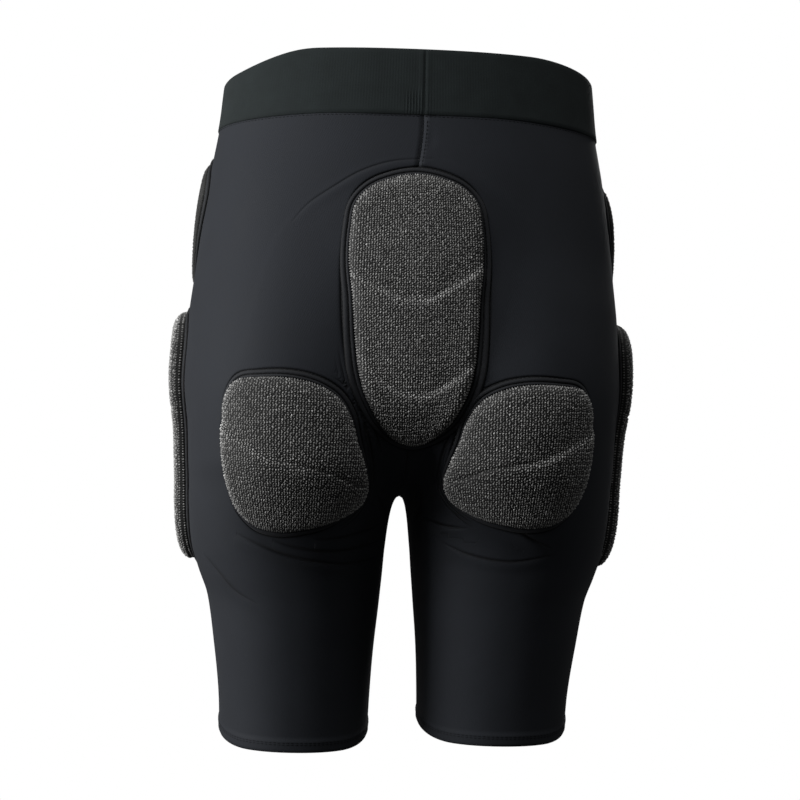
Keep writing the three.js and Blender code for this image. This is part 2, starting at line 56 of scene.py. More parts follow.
# Each lamp's turn to the camera's right and height in degrees, its distance and size, and its watts.
LAMPS = {
    "left_light": (-73, 7, 1.8, 1.0, 37),
    "top_light": (-32, 52, 1.5, 0.7, 11),
    "right_light": (70, 40, 1.8, 0.9, 3.5),
    "front_light": (170, 35, 1.8, 1.2, 30),
}
WHITE = (1, 1, 1, 1)
AMBIENT_LIGHT = 0.055
FLOOR_HEIGHT = -0.63
FLOOR_RADIUS = 0.30
FLOOR_SIDES = 96
FLOOR_COLOUR = (0.9, 0.9, 0.9, 1)
FLOOR_ROUGHNESS = 0.9

to_camera = Vector((np.sin(CAMERA_TURN), -np.cos(CAMERA_TURN), 0))
level_right = Vector((np.cos(CAMERA_TURN), np.sin(CAMERA_TURN), 0))
level_up = Vector((0, 0, 1))
rolled_right = level_right * np.cos(CAMERA_ROLL) + level_up * np.sin(CAMERA_ROLL)
rolled_up = level_up * np.cos(CAMERA_ROLL) - level_right * np.sin(CAMERA_ROLL)
camera_data = bpy.data.cameras.new("camera")
camera_data.sensor_width = SENSOR_WIDTH
camera_data.lens = LENS_LENGTH
camera = bpy.data.objects.new("camera", camera_data)
bpy.context.collection.objects.link(camera)
camera.matrix_world = Matrix.Translation(
    Vector((CAMERA_SHIFT, 0, CAMERA_HEIGHT)) + to_camera * CAMERA_DISTANCE
) @ Matrix((rolled_right, rolled_up, to_camera)).transposed().to_4x4()
bpy.context.scene.camera = camera

for name, (turn, height, distance, size, power) in LAMPS.items():
    turn, height = np.radians(turn) + CAMERA_TURN, np.radians(height)
    away = Vector((np.sin(turn) * np.cos(height), -np.cos(turn) * np.cos(height), np.sin(height)))
    lamp_data = bpy.data.lights.new(name, "AREA")
    lamp_data.size = size
    lamp_data.energy = power
    lamp = bpy.data.objects.new(name, lamp_data)
    bpy.context.collection.objects.link(lamp)
    lamp.location = Vector((0, 0, CAMERA_HEIGHT)) + away * distance
    lamp.rotation_euler = away.to_track_quat("Z", "Y").to_euler()

sky = bpy.data.worlds.new("studio")
sky.use_nodes = True
backdrop = sky.node_tree.nodes["Background"]
backdrop.inputs["Color"].default_value = WHITE
dim = sky.node_tree.nodes.new("ShaderNodeBackground")
dim.inputs["Color"].default_value = WHITE
dim.inputs["Strength"].default_value = AMBIENT_LIGHT
seen = sky.node_tree.nodes.new("ShaderNodeLightPath")
chosen = sky.node_tree.nodes.new("ShaderNodeMixShader")
sky.node_tree.links.new(seen.outputs["Is Camera Ray"], chosen.inputs[0])
sky.node_tree.links.new(dim.outputs[0], chosen.inputs[1])
sky.node_tree.links.new(backdrop.outputs[0], chosen.inputs[2])
sky.node_tree.links.new(chosen.outputs[0], sky.node_tree.nodes["World Output"].inputs["Surface"])
bpy.context.scene.world = sky
bpy.context.scene.view_settings.view_transform = "Standard"

turns = np.linspace(0, 2 * np.pi, FLOOR_SIDES, endpoint=False)
floor_points = np.stack([np.cos(turns), np.sin(turns), 0 * turns], axis=1) * FLOOR_RADIUS
floor_mesh = bpy.data.meshes.new("floor")
floor_mesh.from_pydata((floor_points + [0, 0, FLOOR_HEIGHT]).tolist(), [], [list(range(len(turns)))])
floor = bpy.data.objects.new("floor", floor_mesh)
bpy.context.collection.objects.link(floor)
floor.visible_diffuse = False
floor.visible_glossy = False
floor_finish = bpy.data.materials.new("pale_floor")
floor_finish.use_nodes = True
floor_shader = floor_finish.node_tree.nodes["Principled BSDF"]
floor_shader.inputs["Base Color"].default_value = FLOOR_COLOUR
floor_shader.inputs["Roughness"].default_value = FLOOR_ROUGHNESS
floor_mesh.materials.append(floor_finish)


# The worn form
# Every piece is stretched over the wearer's body, so its place is worked out from one closed form: the
# trunk and the two legs, each a rounded section that changes with height, blended where they meet.
WAIST_WIDTH = 0.288
WAIST_DEPTH = 0.194
HIP_WIDTH = 0.336
HIP_DEPTH = 0.229
SEAT_SET_BACK = 0.0065
THIGH_DEPTH = 0.234
THIGH_SET_BACK = 0.013
HEM_WIDTH = 0.1176
HEM_DEPTH = 0.143
HEM_SPACING = 0.0396
RISE_HEIGHT = 0.329
LEG_HEIGHT = 0.201
CROTCH_CURVE_HEIGHT = 0.088
SEAT_BLEND = 0.016
CROTCH_BLEND = 0.008
RIM_HEIGHT = 0.026
CROTCH_HEIGHT = RIM_HEIGHT - RISE_HEIGHT
TRUNK_SQUARENESS = 2.3
LEG_SQUARENESS = 2.2
RAY_HALVINGS = 30
SLOPE_STEP = 0.0005
TINY = 1e-12
# spread goes from the waist's size to the hips' with the share of the rise below the rim.
TRUNK_SECTIONS = {
    "down": (0.00, 0.08, 0.15, 0.26, 0.41, 0.58, 0.70),
    "spread": (0.00, 0.11, 0.21, 0.46, 0.74, 0.98, 1.00),
}
# level is a share of the leg below the crotch, or of the rise above it. taper goes from the hips' side
# to the hem's, part from the middle to the hem's inner side, slim from the thigh's depth to the hem's,
# and back is a share of the thigh's set back.
LEG_SECTIONS = {
    "level": (-0.83, -0.59, -0.42, -0.24, -0.06, 0.00, 0.10, 0.25, 0.35, 0.45, 0.64, 0.83, 1.00),
    "taper": (1.70, 0.95, 0.30, 0.00, 0.03, 0.06, 0.07, 0.16, 0.36, 0.60, 0.80, 0.95, 1.00),
    "part": (2.00, 1.00, 0.05, -0.20, -0.18, -0.05, 0.30, 0.50, 0.59, 0.69, 0.86, 0.95, 1.00),
    "slim": (1.15, 0.70, 0.27, 0.02, 0.07, 0.18, 0.30, 0.46, 0.55, 0.64, 0.79, 0.92, 1.00),
    "back": (0.30, 0.60, 0.85, 1.00, 0.87, 0.65, 0.42, 0.20, 0.12, 0.05, 0.00, 0.00, 0.00),
}
LEG_SECTIONS["drop"] = [level * (LEG_HEIGHT if level > 0 else RISE_HEIGHT)
                        for level in LEG_SECTIONS["level"]]


def mix(start, end, share):
    return start + (end - start) * share


def unit(vectors):
    """Vectors with their directions kept, made one long."""
    return vectors / np.linalg.norm(vectors, axis=-1, keepdims=True)


def smooth_step(start, end, value):
    """Goes from 0 to 1 between two values, level at both: 3 t^2 - 2 t^3."""
    share = np.clip((value - start) / (end - start), 0, 1)
    return share * share * (3 - 2 * share)


def read_table(table, place, column, at):
    """A column of a table at any place, on cubic curves whose slopes come from each row's neighbours."""
    places, values = np.array(table[place]), np.array(table[column])
    slopes = np.concatenate([
        [(values[1] - values[0]) / (places[1] - places[0])],
        (values[2:] - values[:-2]) / (places[2:] - places[:-2]),
        [(values[-1] - values[-2]) / (places[-1] - places[-2])],
    ])
    at = np.clip(at, places[0], places[-1])
    row = np.clip(np.searchsorted(places, at, side="right") - 1, 0, len(places) - 2)
    span = places[row + 1] - places[row]
    rise = values[row + 1] - values[row]
    t = (at - places[row]) / span
    start = slopes[row] * span - rise
    end = rise - slopes[row + 1] * span
    return values[row] + t * rise + t * (1 - t) * (start * (1 - t) + end * t)


def outside_section(across, along, drop, half_width, half_depth, half_drop, power):
    """How far a point lies outside |a/w|^n + |b/d|^n + |c/h|^n = 1, along the line from its centre."""
    reach = np.sqrt(across**2 + along**2 + drop**2) + TINY
    total = (np.abs(across) / half_width)**power + (np.abs(along) / half_depth)**power
    total = total + (np.abs(drop) / half_drop)**power
    return reach - reach / (total**(1 / power) + TINY)


def smooth_min(a, b, size):
    """The lesser of two distances, rounded where they are within size of each other."""
    near = np.maximum(size - np.abs(a - b), 0) / size
    return np.minimum(a, b) - near * near * size / 4


def leg_section(z):
    """Centre across, centre along, half width and half depth of the right leg's section at a height."""
    taper, part, slim, back = (read_table(LEG_SECTIONS, "drop", column, CROTCH_HEIGHT - z)
                               for column in ("taper", "part", "slim", "back"))
    outer = mix(HIP_WIDTH / 2, HEM_SPACING / 2 + HEM_WIDTH, taper)
    inner = HEM_SPACING / 2 * part
    depth = mix(THIGH_DEPTH, HEM_DEPTH, slim)
    set_back = THIGH_SET_BACK * back
    return (outer + inner) / 2, -set_back, (outer - inner) / 2, depth / 2


def body_distance(points):
    """How far points lie outside the worn form: the trunk and both legs, blended into each other."""
    x, y, z = points[..., 0], points[..., 1], points[..., 2]
    spread = read_table(TRUNK_SECTIONS, "down", "spread", (RIM_HEIGHT - z) / RISE_HEIGHT)
    drop = np.maximum(CROTCH_HEIGHT + CROTCH_CURVE_HEIGHT - z, 0)
    trunk = outside_section(x, y + SEAT_SET_BACK * spread, drop, mix(WAIST_WIDTH, HIP_WIDTH, spread) / 2,
                            mix(WAIST_DEPTH, HIP_DEPTH, spread) / 2, CROTCH_CURVE_HEIGHT, TRUNK_SQUARENESS)
    centre_x, centre_y, half_width, half_depth = leg_section(z)
    legs = [outside_section(side * x - centre_x, y - centre_y, 0, half_width, half_depth, 1, LEG_SQUARENESS)
            for side in (1, -1)]
    return smooth_min(trunk, smooth_min(*legs, CROTCH_BLEND), SEAT_BLEND)


def body_normal(points):
    """The outward direction of the worn form at points, from the distance's slope each way."""
    steps = np.eye(3) * SLOPE_STEP
    slope = np.stack([body_distance(points + step) - body_distance(points - step) for step in steps], axis=-1)
    return unit(slope)


def meet_body(origin, direction, limit):
    """Where rays from inside the form leave it, by halving the stretch that holds the crossing."""
    near = np.zeros(np.broadcast(origin[..., 0], direction[..., 0], limit).shape)
    far = near + limit
    for _ in range(RAY_HALVINGS):
        middle = (near + far) / 2
        outside = body_distance(origin + middle[..., None] * direction) > 0
        far = np.where(outside, middle, far)
        near = np.where(outside, near, middle)
    return origin + near[..., None] * direction


def level_points(axis_x, axis_y, angle, z, keep_right=False):
    """Where level rays from an upright axis meet the form. keep_right stops them at x = 0."""
    axis_x, axis_y, angle, z = np.broadcast_arrays(axis_x, axis_y, angle, z)
    direction = np.stack([np.cos(angle), np.sin(angle), 0 * angle], axis=-1)
    limit = np.full(angle.shape, HIP_WIDTH + HIP_DEPTH)
    if keep_right:
        leftwards = np.maximum(-direction[..., 0], TINY)
        limit = np.minimum(limit, axis_x / leftwards)
    return meet_body(np.stack([axis_x, axis_y, z], axis=-1), direction, limit)


def turn_from_back(x, y):
    return np.abs(np.arctan2(x, -y))


# Where the pads lie
# A tail pad, two seat pads, two thigh pads and two hip pads are sewn on the outside of the cloth. Each has
# its own smooth outline, laid round the body from an upright axis as a cut piece is wrapped round a form.
OUTLINE_POINTS = 720
CURVE_STEPS = 24
FOAM_BRIDGE = 0.009
BRIDGED_LEVELS = (-1.4, -0.7, 0, 0.7, 1.4)


def both_sides(half):
    """A closed outline from its left half, which starts and ends on the middle line."""
    return (*half, *((-across, up) for across, up in half[-2:0:-1]))


# Outlines and creases are shares of the pad's half width and half height. A crease has the share of its
# line at which its groove turns into a step.
PAD_KINDS = {
    "tail_pad": {
        "sides": (0,), "width": 0.096, "height": 0.200, "thickness": 0.011,
        "down": 0.599, "axis": (0.012, -0.131), "facing": -90, "tilt": 0.8,
        "outline": both_sides((
            (0, 1), (-0.42, 0.97), (-0.76, 0.9), (-0.95, 0.79), (-1, 0.62), (-1, 0.36), (-0.93, 0.08),
            (-0.88, -0.24), (-0.82, -0.48), (-0.71, -0.68), (-0.56, -0.83), (-0.33, -0.92), (0, -0.955),
        )),
        "creases": (
            (((-1.2, 0.37), (-0.95, 0.28), (-0.48, 0.15), (0.1, 0.09), (0.56, 0.2), (0.95, 0.33),
              (1.2, 0.43)), 0),
            (((-1.0, -0.24), (-0.67, -0.41), (-0.42, -0.52), (0.07, -0.585), (0.6, -0.48), (1.0, -0.3)), 0),
        ),
    },
    "seat_pad": {
        "sides": (-1, 1), "width": 0.112, "height": 0.110, "thickness": 0.012,
        "down": 0.927, "axis": (0.488, -0.105), "facing": -90, "tilt": 0,
        "outline": (
            (0.1, 1), (-0.22, 0.92), (-0.47, 0.76), (-0.64, 0.5), (-0.75, 0.16), (-0.9, -0.17), (-1, -0.42),
            (-0.93, -0.62), (-0.54, -0.85), (-0.12, -0.96), (0.25, -1), (0.62, -0.93), (0.86, -0.72),
            (0.965, -0.42), (1, -0.05), (1, 0.35), (0.96, 0.72), (0.8, 0.95), (0.5, 1),
        ),
        "creases": (
            (((-1.05, -0.38), (-0.64, -0.26), (-0.36, -0.15), (0, -0.07), (0.31, 0.02), (0.58, 0.18),
              (0.88, 0.37), (1.1, 0.6)), 0.55),
        ),
    },
    "thigh_pad": {
        "sides": (-1, 1), "width": 0.102, "height": 0.194, "thickness": 0.0115,
        "down": 0.894, "axis": (0.488, -0.052), "facing": 24, "tilt": 7,
        "outline": both_sides((
            (0, 1), (-0.6, 0.97), (-0.92, 0.84), (-0.98, 0.5), (-0.92, 0.1), (-0.88, -0.35), (-0.84, -0.76),
            (-0.56, -0.96), (0, -1),
        )),
        "creases": (
            (((-1.15, 0.36), (-0.5, 0.24), (0, 0.2), (0.5, 0.24), (1.15, 0.36)), 1.3),
        ),
    },
    "hip_pad": {
        "sides": (-1, 1), "width": 0.096, "height": 0.104, "thickness": 0.0055,
        "down": 0.392, "axis": (0.429, 0), "facing": 20, "tilt": 14,
        "outline": (
            (0, 1), (-0.62, 0.94), (-0.96, 0.68), (-0.92, 0.22), (-0.7, -0.3), (-0.46, -0.8),
            (0, -1), (0.46, -0.8), (0.74, -0.3), (0.94, 0.22), (0.96, 0.68), (0.62, 0.94),
        ),
        "creases": (),
    },
}
# The right seat pad sits a little higher, nearer the middle and shorter than the left one, and the right
# hip pad lower: the shares of its width and height, and its shift across and up in metres.
PAD_FITS = {"right_seat_pad": ((0.99, 0.93), (-0.0028, 0.0030)), "right_hip_pad": ((1.0, 1.08), (0, -0.012))}


def distance_travelled(lines):
    """The way from each line's first point to its others. Points are on the last axis but one."""
    spans = np.linalg.norm(np.diff(lines, axis=-2), axis=-1)
    return np.concatenate([0 * spans[..., :1], np.cumsum(spans, axis=-1)], axis=-1)


def points_at(line, travelled, wanted):
    """A line's points, or values that it carries, at wanted distances along it."""
    return np.stack([np.interp(wanted, travelled, column) for column in line.T], axis=1)


def curve_through(knots, closed, count):
    """A centripetal Catmull-Rom curve through knots, in count points evenly spaced along it."""
    knots = np.array(knots, float)
    if closed:
        padded = np.concatenate([knots[-1:], knots, knots[:2]])
    else:
        padded = np.concatenate([2 * knots[:1] - knots[1:2], knots, 2 * knots[-1:] - knots[-2:-1]])
    p0, p1, p2, p3 = padded[:-3], padded[1:-2], padded[2:-1], padded[3:]
    t1, t2, t3 = (np.sqrt(np.linalg.norm(b - a, axis=1))[:, None] for a, b in ((p0, p1), (p1, p2), (p2, p3)))
    start = ((p1 - p0) / t1 - (p2 - p0) / (t1 + t2) + (p2 - p1) / t2) * t2
    end = ((p2 - p1) / t2 - (p3 - p1) / (t2 + t3) + (p3 - p2) / t3) * t2
    t = np.linspace(0, 1, CURVE_STEPS, endpoint=False)[:, None, None]
    cubic = (2 * t**3 - 3 * t**2 + 1) * p1 + (t**3 - 2 * t**2 + t) * start
    cubic = cubic + (3 * t**2 - 2 * t**3) * p2 + (t**3 - t**2) * end
    line = np.concatenate([cubic.transpose(1, 0, 2).reshape(-1, knots.shape[1]), p2[-1:]])
    travelled = distance_travelled(line)
    return points_at(line, travelled, np.linspace(0, travelled[-1], count, endpoint=not closed))


class PadLayout:
    """One pad's outline, and the way between a place on the pad and its point on the worn form."""

    def __init__(self, kind, side, stretch=(1, 1), shift=(0, 0)):
        self.kind, self.stretch, self.shift = kind, np.array(stretch), np.array(shift)
        self.mirror = -1 if side < 0 else 1
        self.half = np.array([kind["width"], kind["height"]]) / 2
        self.facing, self.tilt = np.radians(kind["facing"]), np.radians(kind["tilt"])
        self.axis = np.array(kind["axis"]) * (HIP_WIDTH / 2, HIP_DEPTH / 2)
        self.level = RIM_HEIGHT - kind["down"] * RISE_HEIGHT
        centre = level_points(*self.axis, self.facing, self.level)
        self.wrap_radius = np.hypot(*(centre[:2] - self.axis))
        outline, _ = self.ring(OUTLINE_POINTS)
        self.centre = outline.mean(axis=0)
        spokes = outline - self.centre
        angles = np.arctan2(spokes[:, 1], spokes[:, 0])
        order = np.argsort(angles)
        self.spoke_angles = angles[order]
        self.spoke_lengths = np.hypot(*spokes.T)[order]

    def fit(self, shares):
        """Places across and up in metres, from shares of the pad's half sizes."""
        return shares * self.half * self.stretch + self.shift

    def ring(self, count):
        """The pad's outline in count even steps, and the direction outwards square to it at each."""
        ring = curve_through(self.fit(self.kind["outline"]), True, count)
        along = np.roll(ring, -1, axis=0) - np.roll(ring, 1, axis=0)
        return ring, unit(np.stack([along[:, 1], -along[:, 0]], axis=1))

    def place(self, across, up, out):
        """A point out from the form: level rays go round by across / wrap radius and up by up.

        Stiff foam bridges the form's small hollows, so the form is averaged over five heights, weighted
        by e^(-(distance / length)^2).
        """
        turned = across * np.cos(self.tilt) - up * np.sin(self.tilt)
        raised = across * np.sin(self.tilt) + up * np.cos(self.tilt)
        total, weights = 0, 0
        for shift in BRIDGED_LEVELS:
            height = self.level + raised + shift * FOAM_BRIDGE
            points = level_points(*self.axis, self.facing + turned / self.wrap_radius, height)
            level = points - (0, 0, shift * FOAM_BRIDGE)
            total = total + np.exp(-shift**2) * np.stack([level, body_normal(points)])
            weights += np.exp(-shift**2)
        points, normals = total / weights
        return (points + unit(normals) * np.asarray(out)[..., None]) * (self.mirror, 1, 1)

    def beyond(self, points):
        """How far points on the cloth lie outside the outline, along the spoke from its centre."""
        x, y, z = points[..., 0] * self.mirror, points[..., 1], points[..., 2]
        turn = np.arctan2(y - self.axis[1], x - self.axis[0]) - self.facing
        turned = (np.mod(turn + np.pi, 2 * np.pi) - np.pi) * self.wrap_radius
        raised = z - self.level
        across = turned * np.cos(self.tilt) + raised * np.sin(self.tilt)
        up = raised * np.cos(self.tilt) - turned * np.sin(self.tilt)
        return -self.depth(across, up)[0]

    def depth(self, across, up):
        """Distance inside the outline along the spoke, and the spoke's whole length there."""
        away, upwards = across - self.centre[0], up - self.centre[1]
        edge = np.interp(np.arctan2(upwards, away), self.spoke_angles, self.spoke_lengths, period=2 * np.pi)
        return edge - np.hypot(away, upwards), edge


pad_layouts = {}
for kind_name, kind in PAD_KINDS.items():
    for side in kind["sides"]:
        name = {-1: "left_", 0: "", 1: "right_"}[side] + kind_name
        pad_layouts[name] = PadLayout(kind, side, *PAD_FITS.get(name, ()))


# Leg panels
# Each leg is one panel of matt charcoal warp-knit cloth, 1.6 mm thick with its lining. The two meet in a
# seam down the middle, and each hem is turned inwards by 10 mm and held by a double row of stitches.
MILLIMETRES = 1000
SEAM_HEIGHT = -0.024
SEAM_DIP, SEAM_DIP_TURNS = 0.005, (np.pi / 6, np.pi / 2)
BAND_LAP = 0.0015
FORK_LEVEL = CROTCH_HEIGHT + 0.053
CLOTH_THICKNESS = 0.0016
HEM_HEIGHT = CROTCH_HEIGHT - LEG_HEIGHT
HEM_RISE, HEM_RISE_TURNS = 0.008, (np.pi / 6, np.pi * 5 / 9)
HEM_SHIFTS = {"left": -0.003, "right": 0.004}
HEM_SHIFT_REACH = 0.12
HEM_FOLD_HEIGHT = 0.010
HEM_FOLD_START = 0.0008
HEM_FOLD_PROUD = 0.0005
HEM_FOLD_THICKNESS = 0.0008
HEM_EDGE_SINK = 0.0006
SEAM_SHIFT, SEAM_SHIFT_LEVELS, SEAM_SHIFT_REACH = 0.0055, (-0.085, -0.03), 0.035
SEAM_WELT, SEAM_WELT_PLACE, SEAM_WELT_WIDTH = 0.00010, 0.0022, 0.0013
SEAM_GROOVE, SEAM_GROOVE_WIDTH = 0.0008, 0.0007
TRUNK_ROWS, LEG_ROWS, FOLD_ROWS = 86, 96, 7
OUTER_COLUMNS, INNER_COLUMNS = 150, 50


def seam_level(turn):
    """The waistband's lower edge: highest at the back, and lower by the dip from the sides on."""
    return SEAM_HEIGHT - SEAM_DIP * smooth_step(*SEAM_DIP_TURNS, turn)


def hem_level(turn):
    """The hem's edge: lowest at the back, and higher from the outer side on."""
    return HEM_HEIGHT + HEM_RISE * smooth_step(*HEM_RISE_TURNS, turn)


def seam_turns(z):
    """The angles, seen from the right leg's centre, at which the form crosses x = 0 in front and behind."""
    centre_x, centre_y, _, _ = leg_section(z)
    start = np.stack([0 * z, 0 * z - SEAT_SET_BACK, z], axis=-1)
    return [np.arctan2(meet_body(start, np.array([0, way, 0.0]), HIP_DEPTH)[..., 1] - centre_y, -centre_x)
            for way in (1, -1)]


def trunk_rows():
    """Rows from the waistband's seam to the fork. Columns run from the front seam by the side to the back."""
    share = np.arange(TRUNK_ROWS)[:, None] / TRUNK_ROWS
    part = np.arange(OUTER_COLUMNS + 1) / OUTER_COLUMNS
    z = mix(SEAM_HEIGHT, FORK_LEVEL, share) + 0 * part
    for fitted in (False, True):
        centre_x, centre_y, _, _ = leg_section(z)
        front, back = seam_turns(z)
        points = level_points(centre_x, centre_y, mix(front, back, part), z)
        if not fitted:
            edge = seam_level(turn_from_back(points[..., 0], points[..., 1])) + BAND_LAP
            z = mix(edge, FORK_LEVEL, share)
    return points


def leg_rows():
    """Rows from the fork to the hem. After the outer columns come those on the inside of the leg."""
    part = np.arange(OUTER_COLUMNS + 1) / OUTER_COLUMNS
    fork = np.array(FORK_LEVEL)
    centre_x, centre_y, _, _ = leg_section(fork)
    front, back = seam_turns(fork)
    outer = level_points(centre_x, centre_y, mix(front, back, part), fork)
    under = np.pi * np.arange(1, INNER_COLUMNS) / INNER_COLUMNS
    downwards = np.stack([0 * under, -np.cos(under), -np.sin(under)], axis=-1)
    inner = meet_body(np.array([0, -SEAT_SET_BACK, FORK_LEVEL]), downwards, np.array(HIP_DEPTH))
    starts = np.concatenate([outer, inner])
    start_turns = np.arctan2(starts[:, 1] - centre_y, starts[:, 0] - centre_x)
    inside = np.arange(len(starts)) > OUTER_COLUMNS
    start_turns = np.where(inside & (start_turns > 0), start_turns - 2 * np.pi, start_turns)
    last_turns = mix(back, front - 2 * np.pi, np.arange(1, INNER_COLUMNS) / INNER_COLUMNS)
    hem_turns = np.concatenate([mix(front, back, part), last_turns])
    share = np.concatenate([np.arange(1, LEG_ROWS + 1) / LEG_ROWS, np.ones(FOLD_ROWS)])[:, None]
    drop = np.concatenate([np.zeros(LEG_ROWS), np.linspace(HEM_FOLD_START, HEM_FOLD_HEIGHT, FOLD_ROWS)])
    ends = hem_level(turn_from_back(np.cos(hem_turns), np.sin(hem_turns))) + HEM_FOLD_HEIGHT
    z = mix(starts[:, 2], ends, share) - drop[:, None]
    section_x, section_y, _, _ = leg_section(z)
    below = level_points(section_x, section_y, mix(start_turns, hem_turns, share), z, keep_right=True)
    return np.concatenate([starts[None], below])


def point_numbers(grid):
    """The number of each point of a grid, row by row."""
    return np.arange(grid[..., 0].size).reshape(grid.shape[:2])


def grid_quads(index, closed=False):
    """Four-sided faces between the rows of an array of point numbers, closed sideways or not."""
    following = np.roll(index, -1, axis=1) if closed else index[:, 1:]
    index = index if closed else index[:, :-1]
    corners = [index[:-1], following[:-1], following[1:], index[1:]]
    return np.stack(corners, axis=-1).reshape(-1, 4)


def point_normals(points, quads):
    """Each point's direction: the sum of its faces' crossed diagonals, made one long."""
    a, b, c, d = (points[quads[:, i]] for i in range(4))
    crossed = np.repeat(np.cross(c - a, d - b), 4, axis=0)
    return unit(np.stack([np.bincount(quads.ravel(), column, len(points)) for column in crossed.T], axis=1))


def two_sided(outer, inner, quads):
    """A closed wall: the outer skin, the inner one turned over, and a strip along each free edge."""
    count = len(outer)
    sides = np.concatenate([quads[:, [i, (i + 1) % 4]] for i in range(4)])
    free = ~np.isin(sides[:, 0] * count + sides[:, 1], sides[:, 1] * count + sides[:, 0])
    start, end = sides[free].T
    strip = np.stack([end, start, start + count, end + count], axis=1)
    return np.concatenate([outer, inner]), np.concatenate([quads, quads[:, ::-1] + count, strip])


def make_piece(name, points, face_groups, finish, attributes=None):
    """A smooth mesh at the world's origin from arrays. The faces of one group have as many corners."""
    mesh = bpy.data.meshes.new(name)
    mesh.vertices.add(len(points))
    mesh.vertices.foreach_set("co", np.ascontiguousarray(points, np.float32).ravel())
    corners = np.concatenate([faces.ravel() for faces in face_groups])
    sizes = np.concatenate([np.full(len(faces), faces.shape[1]) for faces in face_groups])
    mesh.loops.add(len(corners))
    mesh.loops.foreach_set("vertex_index", corners.astype(np.int32))
    mesh.polygons.add(len(sizes))
    mesh.polygons.foreach_set("loop_start", (np.cumsum(sizes) - sizes).astype(np.int32))
    for attribute, values in (attributes or {}).items():
        kind, field = ("FLOAT", "value") if values.ndim == 1 else ("FLOAT_VECTOR", "vector")
        stored = mesh.attributes.new(attribute, kind, "POINT")
        stored.data.foreach_set(field, values.astype(np.float32).ravel())
    mesh.materials.append(finish)
    mesh.update(calc_edges=True)
    mesh.shade_smooth()
    piece = bpy.data.objects.new(name, mesh)
    bpy.context.collection.objects.link(piece)
    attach(piece, "root")
    return piece


def nearest_on_line(points, line):
    """The distance from each point to the nearest of a fine line's points, its number and its share along."""
    gaps = np.linalg.norm(points[:, None] - line[None], axis=2)
    nearest = gaps.argmin(axis=1)
    return gaps[np.arange(len(points)), nearest], nearest, nearest / (len(line) - 1)


# Folds of the cloth on its back, as places across and up in metres, with their height and half width.
# A fold below a pad hangs from its lower border, and the others pull from the crotch to the side. Folds
# that run close together are in different sets.
CLOTH_FOLDS = ((
    (((-0.128, -0.339), (-0.106, -0.348), (-0.085, -0.355), (-0.048, -0.361), (-0.018, -0.358)),
     0.0018, 0.0040),
    (((0.016, -0.327), (0.031, -0.331), (0.046, -0.332)), 0.0014, 0.0032),
    (((0.028, -0.344), (0.050, -0.352), (0.080, -0.356), (0.112, -0.351)), 0.0012, 0.0040),
    (((-0.043, -0.238), (-0.035, -0.252), (-0.028, -0.275), (-0.024, -0.300)), 0.0013, 0.0034),
    (((0.040, -0.226), (0.033, -0.250), (0.026, -0.276), (0.022, -0.300)), 0.0013, 0.0034),
    (((-0.070, -0.3425), (-0.052, -0.3415), (-0.036, -0.3380), (-0.018, -0.3325)), 0.0012, 0.0032),
), (
    (((-0.100, -0.343), (-0.078, -0.3490), (-0.055, -0.3515), (-0.038, -0.3495), (-0.018, -0.3455)),
     0.0014, 0.0032),
    (((-0.092, -0.108), (-0.079, -0.093), (-0.059, -0.079), (-0.041, -0.068), (-0.019, -0.060),
      (0.012, -0.057)), 0.0005, 0.0035),
    (((-0.152, -0.358), (-0.139, -0.371), (-0.126, -0.384), (-0.108, -0.394)), 0.0006, 0.0045),
    (((0.074, -0.326), (0.089, -0.335), (0.110, -0.346)), 0.0012, 0.0034),
    (((-0.033, -0.242), (-0.027, -0.256), (-0.020, -0.276)), 0.0010, 0.0030),
    (((-0.021, -0.308), (-0.015, -0.322), (-0.010, -0.336)), 0.0012, 0.0030),
    (((0.012, -0.300), (0.014, -0.316), (0.011, -0.330)), 0.0010, 0.0030),
))
# A fold fades towards its ends and stops at a pad's border. Its ridge lies aside of its line by a share of
# its half width, and a fold at least as high as a deep one has a line of full strength: a groove with painted
# shade.
FOLD_TAPER, FOLD_ASIDE = 0.7, 0.8
DEEP_FOLD = 0.0010
NO_FOLD = 20.0
BORDER_REACH = (0.006, 0.010)
# The edge of the inner carrier that holds the pads, which shows through the cloth as a low step.
CARRIER_EDGE = (
    (-0.130, -0.222), (-0.122, -0.188), (-0.112, -0.145), (-0.098, -0.112), (-0.079, -0.093),
    (-0.059, -0.079), (-0.041, -0.068), (-0.019, -0.060), (0.005, -0.057), (0.029, -0.061), (0.056, -0.074),
    (0.076, -0.089), (0.094, -0.110), (0.108, -0.134), (0.119, -0.166), (0.128, -0.207),
)
FINE_LINE_POINTS = 260
CARRIER_MIDDLE = -0.22
CARRIER_STEP, CARRIER_STEP_WIDTH, CARRIER_STEP_REACH = 0.0002, 0.002, (0.030, 0.004)
CARRIER_RIDGE, CARRIER_RIDGE_WIDTH = 0.00012, 0.0011
WAVE_HEIGHT = 0.00022
LAYER_OVAL_HEIGHT, LAYER_OVAL_STRETCH, LAYER_OVAL_RADIUS, LAYER_REACH = -0.262, 2.2, 0.043, (0.020, 0.004)
# Drag lines at the front, from the fork out to each hip, which a worn pair of shorts has at the groin.
GROIN_FOLDS = (
    (((0.014, -0.262), (0.036, -0.243), (0.062, -0.226), (0.092, -0.214)), 0.0013, 0.0045),
    (((0.012, -0.284), (0.030, -0.272), (0.054, -0.262)), 0.0010, 0.0038),
    (((0.020, -0.318), (0.042, -0.326), (0.070, -0.330)), 0.0009, 0.0040),
)


def line_on_body(places, way, count=90):
    """A smooth line through places across and up, laid on the back, way -1, or the front, way 1."""
    flat = curve_through(places, False, count)
    start = np.stack([flat[:, 0], 0 * flat[:, 0], flat[:, 1]], axis=1)
    return meet_body(start, np.array([0, way, 0.0]), np.array(HIP_DEPTH))


